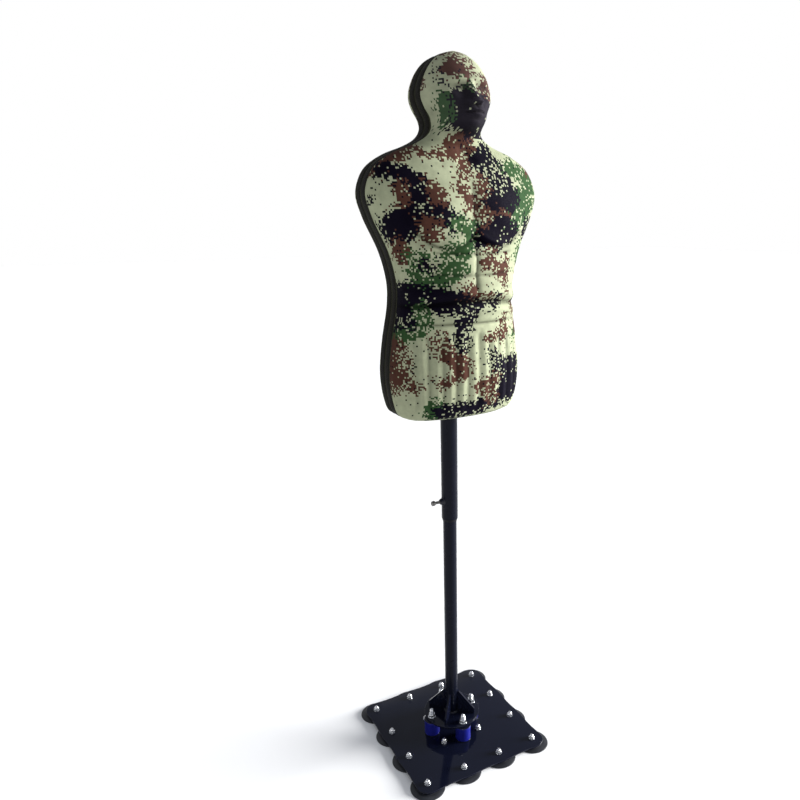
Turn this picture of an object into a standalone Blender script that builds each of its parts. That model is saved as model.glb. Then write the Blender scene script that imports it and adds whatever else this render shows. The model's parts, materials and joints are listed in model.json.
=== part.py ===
"""Body opponent mannequin: a padded striking torso on a telescopic mast, standing on a suction-cup base.

Metres, +Z up. The origin is the centre of the base on the floor, and the mannequin faces -Y.
"""
import math

import bmesh
import bpy
from mathutils import Matrix, Vector

# ---- driving dimensions -------------------------------------------------------------------------
GAP = 0.0003                    # clearance between pieces that touch

# base plate and its suction cups
CUP_PITCH = 0.120               # spacing of the cup grid
CUPS_PER_SIDE = 4
CUP_RADIUS = 0.050
CUP_CROWN_RADIUS = 0.020        # flat top of a cup, under the plate
CUP_LIP_THICKNESS = 0.0018
CUP_HOLLOW_HEIGHT = 0.0036      # of the space under the cup, at its middle
CUP_HOLLOW_RADIUS = 0.046
PLATE_TOP = 0.014
PLATE_THICKNESS = 0.005
PLATE_LOBE = 0.034              # plate edge beyond the outer row, level with a cup
PLATE_WEB = 0.031               # the same, halfway between two cups
CUP_STUD_RADIUS = 0.005
CUP_NUT_FLATS = 0.016
CUP_NUT_HEIGHT = 0.0148
CUP_NUT_FLATS_HEIGHT = 0.0070   # of the hexagon under the dome
CUP_NUT_DOME_RADIUS = 0.0062

# elastomer dampers between the base plate and the mast's flange
DAMPER_CIRCLE = 0.070           # distance of each damper from the mast's axis
DAMPER_RADIUS = 0.0235
DAMPER_SPIGOT_RADIUS = 0.006
FLANGE_TOP = 0.072
FLANGE_THICKNESS = 0.006
FLANGE_RADIUS = 0.085
DAMPER_STUD_RADIUS = 0.006
DAMPER_NUT_FLATS = 0.018
DAMPER_NUT_HEIGHT = 0.0095
DAMPER_WASHER_RADIUS = 0.0120
DAMPER_WASHER_THICKNESS = 0.002
DAMPER_STUD_TOP = 0.100
DAMPER_STUD_CHAMFER = 0.0015
DAMPER_EDGE = 0.001             # chamfer of a block
DAMPER_SOCKET_DEPTH = 0.012

# mast
GUSSET_HEIGHT = 0.072
GUSSET_TOE_HEIGHT = 0.018
GUSSET_REACH = 0.073
GUSSET_THICKNESS = 0.005
GUSSET_TIP = 0.005              # width of its flat top
LOWER_TUBE_RADIUS = 0.019
LOWER_TUBE_WALL = 0.002
LOWER_TUBE_TOP = 1.100
UPPER_TUBE_RADIUS = 0.0225
UPPER_TUBE_WALL = 0.0015
UPPER_TUBE_FOOT = 0.729
UPPER_TUBE_TOP = 1.720
BUSH_LENGTH = 0.036             # part of the bush inside the upper tube
BUSH_COLLAR = 0.0075            # part of the bush below it
BUSH_PLAY = 0.0004              # between the bush and the lower tube
BUSH_LIP = 0.0012               # the collar's wall at its foot
TUBE_CAP_DEPTH = 0.015
TUBE_CAP_HEAD = 0.004

# clamp screw, which points to -X
CLAMP_Z = 0.781
CLAMP_ROD_RADIUS = 0.004
CLAMP_HEAD_FLATS = 0.013
CLAMP_HEAD_HEIGHT = 0.0065
CLAMP_COLLAR_RADIUS = 0.0070
CLAMP_COLLAR_HEIGHT = 0.0015
CLAMP_PAD_RADIUS = 0.0038
CLAMP_PAD_THICKNESS = 0.002
CLAMP_BOSS_RADIUS = 0.010
CLAMP_BOSS_TIP_RADIUS = 0.0062
CLAMP_BOSS_SHOULDER = 0.024     # distances from the mast's axis
CLAMP_BOSS_END = 0.031
CLAMP_SCREW_END = 0.0555

# torso: each station is a height above the torso's base, half the width, and the depths of the
# front and rear cushions
TORSO_BASE = 1.041
BAND_FRONT = -0.0300
BAND_SPLIT = -0.0032
BAND_REAR = 0.0235
BAND_THICKNESS = 0.0125
MAST_ROOM = 0.002               # between the bands' lower ends and the mast
GROOVE_PLAY = 0.0007            # between the core's groove and the mast
TORSO_STATIONS = (
    (0.000, 0.140, 0.062, 0.030),
    (0.012, 0.160, 0.080, 0.034),
    (0.045, 0.172, 0.090, 0.040),
    (0.110, 0.179, 0.090, 0.042),
    (0.190, 0.170, 0.086, 0.038),
    (0.270, 0.154, 0.094, 0.034),
    (0.320, 0.152, 0.100, 0.034),
    (0.390, 0.168, 0.101, 0.040),
    (0.470, 0.206, 0.096, 0.044),
    (0.515, 0.219, 0.088, 0.044),
    (0.550, 0.210, 0.074, 0.042),
    (0.575, 0.192, 0.064, 0.038),
    (0.600, 0.150, 0.054, 0.032),
    (0.618, 0.100, 0.046, 0.028),
    (0.635, 0.068, 0.052, 0.026),
    (0.654, 0.055, 0.082, 0.026),
    (0.673, 0.058, 0.098, 0.030),
    (0.693, 0.071, 0.095, 0.034),
    (0.713, 0.079, 0.086, 0.036),
    (0.731, 0.078, 0.079, 0.036),
    (0.750, 0.071, 0.072, 0.034),
    (0.768, 0.061, 0.060, 0.029),
    (0.785, 0.046, 0.044, 0.022),
    (0.797, 0.027, 0.026, 0.013),
    (0.803, 0.006, 0.009, 0.006),
)
SECTION_POWER = 2.3             # superellipse exponent of the cushions' cross-section

# steel crossbars in the torso
BAR_HEIGHT = 0.030
BAR_THICKNESS = 0.005
BAR_FRONT = -0.0279
SHOULDER_BAR_Z = 1.515
SHOULDER_BAR_HALF = 0.165
HIP_BAR_Z = 1.150
HIP_BAR_HALF = 0.140

ROUND_STEPS = 20                # facets of a round piece
TUBE_STEPS = 28
POINTING_MINUS_X = Matrix.Rotation(-math.pi / 2, 4, "Y")    # turns a piece made along +Z


# ---- scene and materials ------------------------------------------------------------------------
def clear_scene():
    for old in list(bpy.data.objects):
        bpy.data.objects.remove(old, do_unlink=True)


def material(name, colour, roughness, metallic=0.0):
    """A plain Principled material."""
    made = bpy.data.materials.new(name)
    made.use_nodes = True
    shader = made.node_tree.nodes["Principled BSDF"]
    shader.inputs["Base Color"].default_value = (*colour, 1.0)
    shader.inputs["Roughness"].default_value = roughness
    shader.inputs["Metallic"].default_value = metallic
    return made


clear_scene()
BLACK_PAINT = material("black_gloss_paint", (0.010, 0.011, 0.014), 0.12)
BLACK_RUBBER = material("black_rubber", (0.012, 0.012, 0.013), 0.45)
BLUE_ELASTOMER = material("blue_elastomer", (0.010, 0.020, 0.220), 0.40)
BRIGHT_STEEL = material("bright_steel", (0.72, 0.72, 0.74), 0.18, 1.0)
BLACK_PLASTIC = material("black_plastic", (0.015, 0.015, 0.016), 0.40)
BRASS = material("brass", (0.60, 0.42, 0.16), 0.30, 1.0)
CAMOUFLAGE = material("camouflage_cover", (0.36, 0.38, 0.25), 0.60)
DARK_COVER = material("dark_cover", (0.020, 0.022, 0.018), 0.55)
FOAM = material("foam", (0.45, 0.44, 0.40), 0.90)
RAW_STEEL = material("raw_steel", (0.30, 0.30, 0.32), 0.40, 1.0)


# ---- modelling helpers --------------------------------------------------------------------------
def add_object(name, mesh, location=(0.0, 0.0, 0.0), parent=None, mesh_material=None):
    """An object in the scene. Its location is given in world space, also under a parent."""
    placed = bpy.data.objects.new(name, mesh)
    bpy.context.scene.collection.objects.link(placed)
    if mesh_material is not None and not mesh.materials:
        mesh.materials.append(mesh_material)
    placed.location = Vector(location)
    if parent is not None:
        placed.parent = parent
        placed.location = Vector(location) - PIVOTS[parent.name]
    return placed


PIVOTS = {}


def pivot(name, location, parent=None):
    """An empty on a joint's axis, which carries the pieces that move with the joint."""
    made = add_object(name, None, location, parent)
    PIVOTS[name] = Vector(location)
    return made


def finished_mesh(name, shape, smooth_angle=35.0):
    """The bmesh as a mesh with outward faces, smooth where its faces meet at a shallow angle."""
    bmesh.ops.recalc_face_normals(shape, faces=shape.faces)
    mesh = bpy.data.meshes.new(name)
    shape.to_mesh(mesh)
    shape.free()
    mesh.shade_smooth()
    mesh.set_sharp_from_angle(angle=math.radians(smooth_angle))
    return mesh


def ring_radius(size, step, steps, hexagon):
    """Distance of one ring point from the axis: a circle's radius, or that of a hexagon by its flats."""
    if not hexagon:
        return size
    corner = 2 * math.pi / 6
    from_corner = (2 * math.pi * step / steps) % corner
    return (size / 2) / math.cos(abs(from_corner - corner / 2))


def turned(name, profile, steps=ROUND_STEPS, closed=False, turn=None):
    """A body of revolution about Z.

    Each profile point is (radius, z), or (across flats, z, "hex") for a hexagonal ring. An open
    profile is capped at both ends, and a closed one makes a ring-shaped body.
    """
    shape = bmesh.new()
    rings = []
    for size, height, *kind in profile:
        ring = []
        for step in range(steps):
            angle = 2 * math.pi * step / steps
            radius = ring_radius(size, step, steps, bool(kind))
            ring.append(shape.verts.new((radius * math.cos(angle), radius * math.sin(angle), height)))
        rings.append(ring)
    pairs = list(zip(rings, rings[1:]))
    if closed:
        pairs.append((rings[-1], rings[0]))
    else:
        shape.faces.new(rings[0])
        shape.faces.new(rings[-1])
    for low, high in pairs:
        for step in range(steps):
            following = (step + 1) % steps
            shape.faces.new((low[step], low[following], high[following], high[step]))
    if turn is not None:
        bmesh.ops.transform(shape, matrix=turn, verts=shape.verts)
    return finished_mesh(name, shape)


def tube_profile(outer, inner, low, high):
    return [(outer, low), (outer, high), (inner, high), (inner, low)]


def extruded(name, outline, direction):
    """A solid between a flat outline and its copy moved by direction."""
    shape = bmesh.new()
    face = shape.faces.new([shape.verts.new(point) for point in outline])
    grown = bmesh.ops.extrude_face_region(shape, geom=[face])
    moved = [item for item in grown["geom"] if isinstance(item, bmesh.types.BMVert)]
    bmesh.ops.translate(shape, vec=direction, verts=moved)
    return finished_mesh(name, shape)


def box_mesh(name, low, high):
    """A box between two opposite corners."""
    low, high = Vector(low), Vector(high)
    corners = [(low.x, low.y), (high.x, low.y), (high.x, high.y), (low.x, high.y)]
    return extruded(name, [(x, y, low.z) for x, y in corners], (0, 0, high.z - low.z))


def cut(target, cutter_name, cutter_mesh, location=(0.0, 0.0, 0.0)):
    """Cuts a hidden guide object out of the target with a live Boolean."""
    cutter = add_object(cutter_name, cutter_mesh, location)
    cutter.hide_render = True
    cutter.display_type = "WIRE"
    modifier = target.modifiers.new(cutter_name, "BOOLEAN")
    modifier.operation = "DIFFERENCE"
    modifier.solver = "EXACT"
    modifier.object = cutter
    return cutter


def drill_mesh(name, centres, low, high, steps=12):
    """Separate vertical cylinders, one for each (x, y, radius), to cut several holes at once."""
    shape = bmesh.new()
    for x, y, radius in centres:
        place = Matrix.Translation((x, y, (low + high) / 2))
        bmesh.ops.create_cone(
            shape, cap_ends=True, segments=steps, radius1=radius, radius2=radius,
            depth=high - low, matrix=place,
        )
    return finished_mesh(name, shape)


# ---- base plate, suction cups and their cap nuts ------------------------------------------------
def grid_line():
    """Positions of the cups along one axis."""
    half = (CUPS_PER_SIDE - 1) / 2
    return [(place - half) * CUP_PITCH for place in range(CUPS_PER_SIDE)]


def cup_places():
    return [(x, y) for y in grid_line() for x in grid_line()]


DAMPER_PLACES = {
    "front": (0.0, -DAMPER_CIRCLE),
    "rear": (0.0, DAMPER_CIRCLE),
    "left": (-DAMPER_CIRCLE, 0.0),
    "right": (DAMPER_CIRCLE, 0.0),
}


def plate_outline():
    """A square with round corners, whose sides stand out a little beside each cup."""
    points_per_pitch = 6
    points_per_corner = 5
    reach = grid_line()[-1]
    wave = (PLATE_LOBE - PLATE_WEB) / 2
    outline = []
    for side in range(4):
        turn = Matrix.Rotation(side * math.pi / 2, 3, "Z")
        for step in range(1, points_per_pitch * (CUPS_PER_SIDE - 1)):
            along = step / points_per_pitch
            edge = PLATE_WEB + wave * (1 + math.cos(2 * math.pi * along))
            outline.append(turn @ Vector((reach + edge, -reach + along * CUP_PITCH, 0)))
        for step in range(points_per_corner + 1):
            angle = math.pi / 2 * step / points_per_corner
            spoke = Vector((math.cos(angle), math.sin(angle), 0)) * PLATE_LOBE
            outline.append(turn @ (Vector((reach, reach, 0)) + spoke))
    return [(point.x, point.y, PLATE_TOP - PLATE_THICKNESS) for point in outline]


def make_base_plate():
    plate = add_object(
        "base_plate",
        extruded("base_plate", plate_outline(), (0, 0, PLATE_THICKNESS)),
        mesh_material=BLACK_PAINT,
    )
    holes = [(x, y, CUP_STUD_RADIUS + GAP) for x, y in cup_places()]
    holes += [(x, y, DAMPER_SPIGOT_RADIUS + GAP) for x, y in DAMPER_PLACES.values()]
    cut(plate, "cutter_plate_holes", drill_mesh("cutter_plate_holes", holes, 0.0, 2 * PLATE_TOP))


def make_cups():
    """Rubber cups pressed nearly flat, each on a stud with a domed cap nut above the plate."""
    top = PLATE_TOP - PLATE_THICKNESS - GAP
    cup_profile = [
        (0.006, CUP_HOLLOW_HEIGHT), (0.032, 0.0030), (CUP_HOLLOW_RADIUS, 0.0),
        (CUP_RADIUS, 0.0), (CUP_RADIUS, CUP_LIP_THICKNESS), (CUP_CROWN_RADIUS, top),
    ]
    cup_mesh = turned("suction_cup", cup_profile, steps=16)
    under_nut = PLATE_TOP + GAP
    dome_foot = under_nut + CUP_NUT_FLATS_HEIGHT
    nut_top = under_nut + CUP_NUT_HEIGHT
    nut_profile = [
        (CUP_STUD_RADIUS, top + 2 * GAP), (CUP_STUD_RADIUS, under_nut),
        (CUP_NUT_FLATS, under_nut, "hex"), (CUP_NUT_FLATS, dome_foot, "hex"),
        (CUP_NUT_DOME_RADIUS, nut_top - 0.0035), (0.0022, nut_top),
    ]
    nut_mesh = turned("cup_nut", nut_profile, steps=12)
    for number, (x, y) in enumerate(cup_places(), start=1):
        add_object(f"suction_cup_{number:02d}", cup_mesh, (x, y, 0), mesh_material=BLACK_RUBBER)
        add_object(f"cup_nut_{number:02d}", nut_mesh, (x, y, 0), mesh_material=BRIGHT_STEEL)


# ---- dampers, flange and lower mast -------------------------------------------------------------
ROCK_CENTRE = (0.0, 0.0, 0.040)     # mid-height of the dampers


def make_dampers(side_rock):
    """Four elastomer blocks, each with a spigot in the plate and a socket for the stud above."""
    low = PLATE_TOP + GAP
    high = FLANGE_TOP - FLANGE_THICKNESS - GAP
    socket = DAMPER_STUD_RADIUS + GAP
    profile = [
        (DAMPER_SPIGOT_RADIUS, low - PLATE_THICKNESS), (DAMPER_SPIGOT_RADIUS, low),
        (DAMPER_RADIUS - DAMPER_EDGE, low), (DAMPER_RADIUS, low + DAMPER_EDGE),
        (DAMPER_RADIUS, high - DAMPER_EDGE), (DAMPER_RADIUS - DAMPER_EDGE, high),
        (socket, high), (socket, high - DAMPER_SOCKET_DEPTH),
    ]
    mesh = turned("damper", profile)
    for side, (x, y) in DAMPER_PLACES.items():
        carrier = side_rock if side in ("left", "right") else None
        add_object(f"damper_{side}", mesh, (x, y, 0), carrier, BLUE_ELASTOMER)


def make_damper_nuts(stand):
    """Hexagon nuts on washers, with the stud's end standing out above."""
    stud_foot = FLANGE_TOP - FLANGE_THICKNESS - DAMPER_SOCKET_DEPTH + 0.002
    seat = FLANGE_TOP + GAP
    washer_top = seat + DAMPER_WASHER_THICKNESS
    nut_top = washer_top + DAMPER_NUT_HEIGHT
    profile = [
        (DAMPER_STUD_RADIUS, stud_foot), (DAMPER_STUD_RADIUS, seat),
        (DAMPER_WASHER_RADIUS, seat), (DAMPER_WASHER_RADIUS, washer_top),
        (DAMPER_NUT_FLATS, washer_top, "hex"), (DAMPER_NUT_FLATS, nut_top, "hex"),
        (DAMPER_STUD_RADIUS, nut_top), (DAMPER_STUD_RADIUS, DAMPER_STUD_TOP - DAMPER_STUD_CHAMFER),
        (DAMPER_STUD_RADIUS - DAMPER_STUD_CHAMFER, DAMPER_STUD_TOP),
    ]
    mesh = turned("damper_nut", profile, steps=12)
    for side, (x, y) in DAMPER_PLACES.items():
        add_object(f"damper_nut_{side}", mesh, (x, y, 0), stand, BRIGHT_STEEL)


def make_flange(stand):
    low = FLANGE_TOP - FLANGE_THICKNESS
    profile = [(FLANGE_RADIUS, low), (FLANGE_RADIUS, FLANGE_TOP)]
    flange_mesh = turned("flange_plate", profile, steps=40)
    flange = add_object("flange_plate", flange_mesh, (0, 0, 0), stand, BLACK_PAINT)
    holes = [(x, y, DAMPER_STUD_RADIUS + GAP) for x, y in DAMPER_PLACES.values()]
    drills = drill_mesh("cutter_flange_holes", holes, low - 0.01, FLANGE_TOP + 0.01)
    cut(flange, "cutter_flange_holes", drills)


def make_gussets(stand):
    """Four webs on the diagonals, tall at the mast and low at the flange's edge."""
    foot = FLANGE_TOP + GAP
    inner = LOWER_TUBE_RADIUS + GAP
    half = GUSSET_THICKNESS / 2
    outline = [
        (inner, -half, foot), (GUSSET_REACH, -half, foot),
        (GUSSET_REACH, -half, foot + GUSSET_TOE_HEIGHT),
        (inner + GUSSET_TIP, -half, foot + GUSSET_HEIGHT), (inner, -half, foot + GUSSET_HEIGHT),
    ]
    mesh = extruded("gusset", outline, (0, GUSSET_THICKNESS, 0))
    for number in range(4):
        web = add_object(f"gusset_{number + 1}", mesh, (0, 0, 0), stand, BLACK_PAINT)
        web.rotation_euler.z = math.pi / 4 + number * math.pi / 2


def make_lower_tube(stand):
    foot = FLANGE_TOP + GAP
    bore = LOWER_TUBE_RADIUS - LOWER_TUBE_WALL
    profile = tube_profile(LOWER_TUBE_RADIUS, bore, foot, LOWER_TUBE_TOP)
    mesh = turned("lower_tube", profile, TUBE_STEPS, closed=True)
    add_object("lower_tube", mesh, (0, 0, 0), stand, BLACK_PAINT)


# ---- upper mast and clamp -----------------------------------------------------------------------
def make_guide_bush(slide_bush):
    """A plastic sleeve between the tubes, with a tapered collar under the upper tube."""
    foot = UPPER_TUBE_FOOT - BUSH_COLLAR
    bore = LOWER_TUBE_RADIUS + BUSH_PLAY
    sleeve = UPPER_TUBE_RADIUS - UPPER_TUBE_WALL - GAP
    shoulder = UPPER_TUBE_FOOT - GAP
    profile = [
        (bore, foot), (bore + BUSH_LIP, foot), (UPPER_TUBE_RADIUS - GAP, shoulder), (sleeve, shoulder),
        (sleeve, UPPER_TUBE_FOOT + BUSH_LENGTH), (bore, UPPER_TUBE_FOOT + BUSH_LENGTH),
    ]
    mesh = turned("guide_bush", profile, TUBE_STEPS, closed=True)
    add_object("guide_bush", mesh, (0, 0, 0), slide_bush, BLACK_PLASTIC)


def make_upper_tube(opponent):
    bore = UPPER_TUBE_RADIUS - UPPER_TUBE_WALL
    profile = tube_profile(UPPER_TUBE_RADIUS, bore, UPPER_TUBE_FOOT, UPPER_TUBE_TOP)
    mesh = turned("upper_tube", profile, TUBE_STEPS, closed=True)
    tube = add_object("upper_tube", mesh, (0, 0, 0), opponent, BLACK_PAINT)
    hole = CLAMP_ROD_RADIUS + GAP
    drill_profile = [(hole, bore / 2), (hole, 2 * UPPER_TUBE_RADIUS)]
    drill = turned("cutter_clamp_hole", drill_profile, 16, turn=POINTING_MINUS_X)
    cut(tube, "cutter_clamp_hole", drill, (0, 0, CLAMP_Z))


def make_tube_cap(opponent):
    """A plastic plug in the mast's top end."""
    spigot = UPPER_TUBE_RADIUS - UPPER_TUBE_WALL - GAP
    profile = [
        (spigot, UPPER_TUBE_TOP - TUBE_CAP_DEPTH), (spigot, UPPER_TUBE_TOP + GAP),
        (UPPER_TUBE_RADIUS, UPPER_TUBE_TOP + GAP), (UPPER_TUBE_RADIUS, UPPER_TUBE_TOP + TUBE_CAP_HEAD),
    ]
    add_object("tube_top_cap", turned("tube_top_cap", profile), (0, 0, 0), opponent, BLACK_PLASTIC)


def make_clamp(opponent, clamp_slide, clamp_pivot):
    """A threaded boss on the upper tube, a screw through it and the pad that grips the lower tube."""
    bore = CLAMP_ROD_RADIUS + GAP
    inside_tube = UPPER_TUBE_RADIUS - 0.0065
    boss_profile = [
        (CLAMP_BOSS_RADIUS, inside_tube), (CLAMP_BOSS_RADIUS, CLAMP_BOSS_SHOULDER),
        (CLAMP_BOSS_TIP_RADIUS, CLAMP_BOSS_END),
        (bore, CLAMP_BOSS_END), (bore, inside_tube),
    ]
    boss_mesh = turned("clamp_boss", boss_profile, closed=True, turn=POINTING_MINUS_X)
    boss = add_object("clamp_boss", boss_mesh, (0, 0, CLAMP_Z), opponent, BLACK_PAINT)
    saddle = UPPER_TUBE_RADIUS + GAP
    saddle_profile = [(saddle, CLAMP_Z - 0.04), (saddle, CLAMP_Z + 0.04)]
    cut(boss, "cutter_boss_saddle", turned("cutter_boss_saddle", saddle_profile, TUBE_STEPS))

    pad_inner = LOWER_TUBE_RADIUS + GAP
    pad_outer = pad_inner + CLAMP_PAD_THICKNESS
    pad_profile = [(CLAMP_PAD_RADIUS, pad_inner), (CLAMP_PAD_RADIUS, pad_outer)]
    pad_mesh = turned("clamp_pad", pad_profile, 16, turn=POINTING_MINUS_X)
    add_object("clamp_pad", pad_mesh, (0, 0, CLAMP_Z), clamp_slide, BRASS)

    head = CLAMP_SCREW_END - CLAMP_HEAD_HEIGHT
    collar = head - CLAMP_COLLAR_HEIGHT
    screw_profile = [
        (CLAMP_ROD_RADIUS, pad_outer + GAP), (CLAMP_ROD_RADIUS, collar),
        (CLAMP_COLLAR_RADIUS, collar), (CLAMP_COLLAR_RADIUS, head),
        (CLAMP_HEAD_FLATS, head, "hex"), (CLAMP_HEAD_FLATS, CLAMP_SCREW_END - 0.001, "hex"),
        (0.4 * CLAMP_HEAD_FLATS, CLAMP_SCREW_END),
    ]
    screw_mesh = turned("clamp_screw", screw_profile, 12, turn=POINTING_MINUS_X)
    add_object("clamp_screw", screw_mesh, (0, 0, CLAMP_Z), clamp_pivot, BRIGHT_STEEL)


# ---- torso --------------------------------------------------------------------------------------
def cushion_mesh(name, back_y, depth_column, forward, columns=12):
    """A crowned solid on a flat back: half a superellipse at each station, skinned in turn."""
    shape = bmesh.new()
    rows = []
    for station in TORSO_STATIONS:
        height, half, depth = station[0], station[1], station[depth_column]
        row = []
        for column in range(columns + 1):
            angle = math.pi * column / columns
            cosine = math.cos(angle)
            x = half * math.copysign(abs(cosine) ** (2 / SECTION_POWER), cosine)
            swell = depth * max(math.sin(angle), 0.0) ** (2 / SECTION_POWER)
            row.append(shape.verts.new((x, back_y + forward * swell, TORSO_BASE + height)))
        rows.append(row)
    for low, high in zip(rows, rows[1:]):
        for column in range(columns):
            shape.faces.new((low[column], low[column + 1], high[column + 1], high[column]))
        shape.faces.new((low[0], high[0], high[-1], low[-1]))
    shape.faces.new(rows[0])
    shape.faces.new(rows[-1])
    return finished_mesh(name, shape)


def right_outline(first_x):
    """The torso's right-hand outline in X and Z, from beside the mast to the crown."""
    underside = [(x, 0.0) for x in (first_x, 0.06, 0.10, 0.126)]
    return underside + [(station[1], station[0]) for station in TORSO_STATIONS]


def inward(points, distance):
    """The outline moved towards the torso's inside."""
    moved = []
    for index, (x, z) in enumerate(points):
        x0, z0 = points[max(index - 1, 0)]
        x1, z1 = points[min(index + 1, len(points) - 1)]
        run = math.hypot(x1 - x0, z1 - z0)
        moved.append((x - (z1 - z0) / run * distance, z + (x1 - x0) / run * distance))
    return moved


def clear_of_centre(right):
    """Keeps an inset outline on its own side where it closes at the crown."""
    return [(max(x, 0.002), z) for x, z in right]


def mirrored_loop(right):
    """The right-hand outline followed by its mirror image, from foot to crown and down again."""
    return right + [(-x, z) for x, z in reversed(right)]


def band_mesh(name, low_y, high_y):
    """A strip around the torso's edge, open below, where the mast enters."""
    right = right_outline(UPPER_TUBE_RADIUS + MAST_ROOM)
    outer = mirrored_loop(right)
    inner = mirrored_loop(clear_of_centre(inward(right, BAND_THICKNESS)))
    shape = bmesh.new()
    loops = [
        [shape.verts.new((x, y, TORSO_BASE + z)) for x, z in line]
        for line, y in ((outer, low_y), (outer, high_y), (inner, high_y), (inner, low_y))
    ]
    for index in range(4):
        one, two = loops[index], loops[(index + 1) % 4]
        for step in range(len(one) - 1):
            shape.faces.new((one[step], one[step + 1], two[step + 1], two[step]))
    for end in (0, -1):
        shape.faces.new([loop[end] for loop in loops])
    return finished_mesh(name, shape)


def core_mesh(name):
    """The foam board inside the bands, before its grooves are cut."""
    right = clear_of_centre(inward(right_outline(0.030), BAND_THICKNESS + GAP))
    front = BAND_FRONT + GAP
    outline = [(x, front, TORSO_BASE + z) for x, z in mirrored_loop(right)]
    return extruded(name, outline, (0, BAND_REAR - GAP - front, 0))


def make_bar(name, height, half_length, opponent):
    low = (-half_length, BAR_FRONT, height - BAR_HEIGHT / 2)
    high = (half_length, BAR_FRONT + BAR_THICKNESS, height + BAR_HEIGHT / 2)
    add_object(name, box_mesh(name, low, high), (0, 0, 0), opponent, RAW_STEEL)


def make_torso(opponent):
    front = cushion_mesh("front_cushion", BAND_FRONT - GAP, 2, -1.0)
    add_object("front_cushion", front, (0, 0, 0), opponent, CAMOUFLAGE)
    rear = cushion_mesh("rear_cushion", BAND_REAR + GAP, 3, 1.0)
    add_object("rear_cushion", rear, (0, 0, 0), opponent, CAMOUFLAGE)
    front_band = band_mesh("front_band", BAND_FRONT, BAND_SPLIT - GAP)
    add_object("front_band", front_band, (0, 0, 0), opponent, DARK_COVER)
    rear_band = band_mesh("rear_band", BAND_SPLIT, BAND_REAR)
    add_object("rear_band", rear_band, (0, 0, 0), opponent, DARK_COVER)

    core = add_object("foam_core", core_mesh("foam_core"), (0, 0, 0), opponent, FOAM)
    groove = UPPER_TUBE_RADIUS + GROOVE_PLAY
    groove_low, groove_high = (-groove, -groove, TORSO_BASE - 0.05), (groove, 0.05, UPPER_TUBE_TOP + 0.006)
    cut(core, "cutter_mast_groove", box_mesh("cutter_mast_groove", groove_low, groove_high))
    for name, height, half in (
        ("shoulder_bar", SHOULDER_BAR_Z, SHOULDER_BAR_HALF), ("hip_bar", HIP_BAR_Z, HIP_BAR_HALF)
    ):
        make_bar(name, height, half, opponent)
        room = BAR_HEIGHT / 2 + GAP
        pocket_low = (-half - GAP, BAND_FRONT - 0.01, height - room)
        pocket_high = (half + GAP, BAR_FRONT + BAR_THICKNESS + GAP, height + room)
        cut(core, f"cutter_{name}_pocket", box_mesh(f"cutter_{name}_pocket", pocket_low, pocket_high))


# ---- assembly -----------------------------------------------------------------------------------
def build():
    make_base_plate()
    make_cups()
    side_rock = pivot("fore_aft_rock_axis", ROCK_CENTRE)
    stand = pivot("sideways_rock_axis", ROCK_CENTRE, side_rock)
    make_dampers(side_rock)
    make_flange(stand)
    make_damper_nuts(stand)
    make_gussets(stand)
    make_lower_tube(stand)
    slide_bush = pivot("height_slide_axis", (0, 0, UPPER_TUBE_FOOT), stand)
    make_guide_bush(slide_bush)
    opponent = pivot("mast_turn_axis", (0, 0, UPPER_TUBE_FOOT), slide_bush)
    make_upper_tube(opponent)
    make_tube_cap(opponent)
    clamp_slide = pivot("clamp_travel_axis", (-CLAMP_BOSS_END, 0, CLAMP_Z), opponent)
    clamp_pivot = pivot("clamp_turn_axis", (-CLAMP_BOSS_END, 0, CLAMP_Z), clamp_slide)
    make_clamp(opponent, clamp_slide, clamp_pivot)
    make_torso(opponent)


build()
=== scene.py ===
"""Looks for the body opponent mannequin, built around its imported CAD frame.

Metres, +Z up. The mannequin faces -Y, and every position comes from the CAD nodes' own boxes.
"""
import json
import math

import bmesh
import bpy
import numpy as np
from mathutils import Matrix, Vector


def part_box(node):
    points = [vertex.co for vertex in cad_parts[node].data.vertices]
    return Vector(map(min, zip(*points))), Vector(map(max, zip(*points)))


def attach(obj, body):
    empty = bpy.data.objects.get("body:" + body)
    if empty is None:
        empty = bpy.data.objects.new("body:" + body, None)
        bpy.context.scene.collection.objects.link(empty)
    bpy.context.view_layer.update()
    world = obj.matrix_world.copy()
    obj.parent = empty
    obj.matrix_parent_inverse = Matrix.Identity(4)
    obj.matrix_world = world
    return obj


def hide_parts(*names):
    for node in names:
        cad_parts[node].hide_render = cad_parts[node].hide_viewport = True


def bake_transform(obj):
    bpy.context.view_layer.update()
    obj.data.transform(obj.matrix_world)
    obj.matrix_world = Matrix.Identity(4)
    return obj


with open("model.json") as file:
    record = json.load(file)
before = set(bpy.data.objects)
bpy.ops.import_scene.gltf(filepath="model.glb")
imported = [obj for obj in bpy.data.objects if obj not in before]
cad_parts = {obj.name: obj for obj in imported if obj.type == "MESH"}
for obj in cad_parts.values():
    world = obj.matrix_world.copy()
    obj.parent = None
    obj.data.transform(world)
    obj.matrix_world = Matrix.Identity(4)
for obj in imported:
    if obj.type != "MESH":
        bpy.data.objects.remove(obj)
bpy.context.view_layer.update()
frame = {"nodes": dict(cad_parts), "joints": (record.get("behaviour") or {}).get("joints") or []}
NODES = frame["nodes"]


def low(node):
    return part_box(node)[0]


def high(node):
    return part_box(node)[1]


def centre(node):
    return (low(node) + high(node)) / 2


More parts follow.
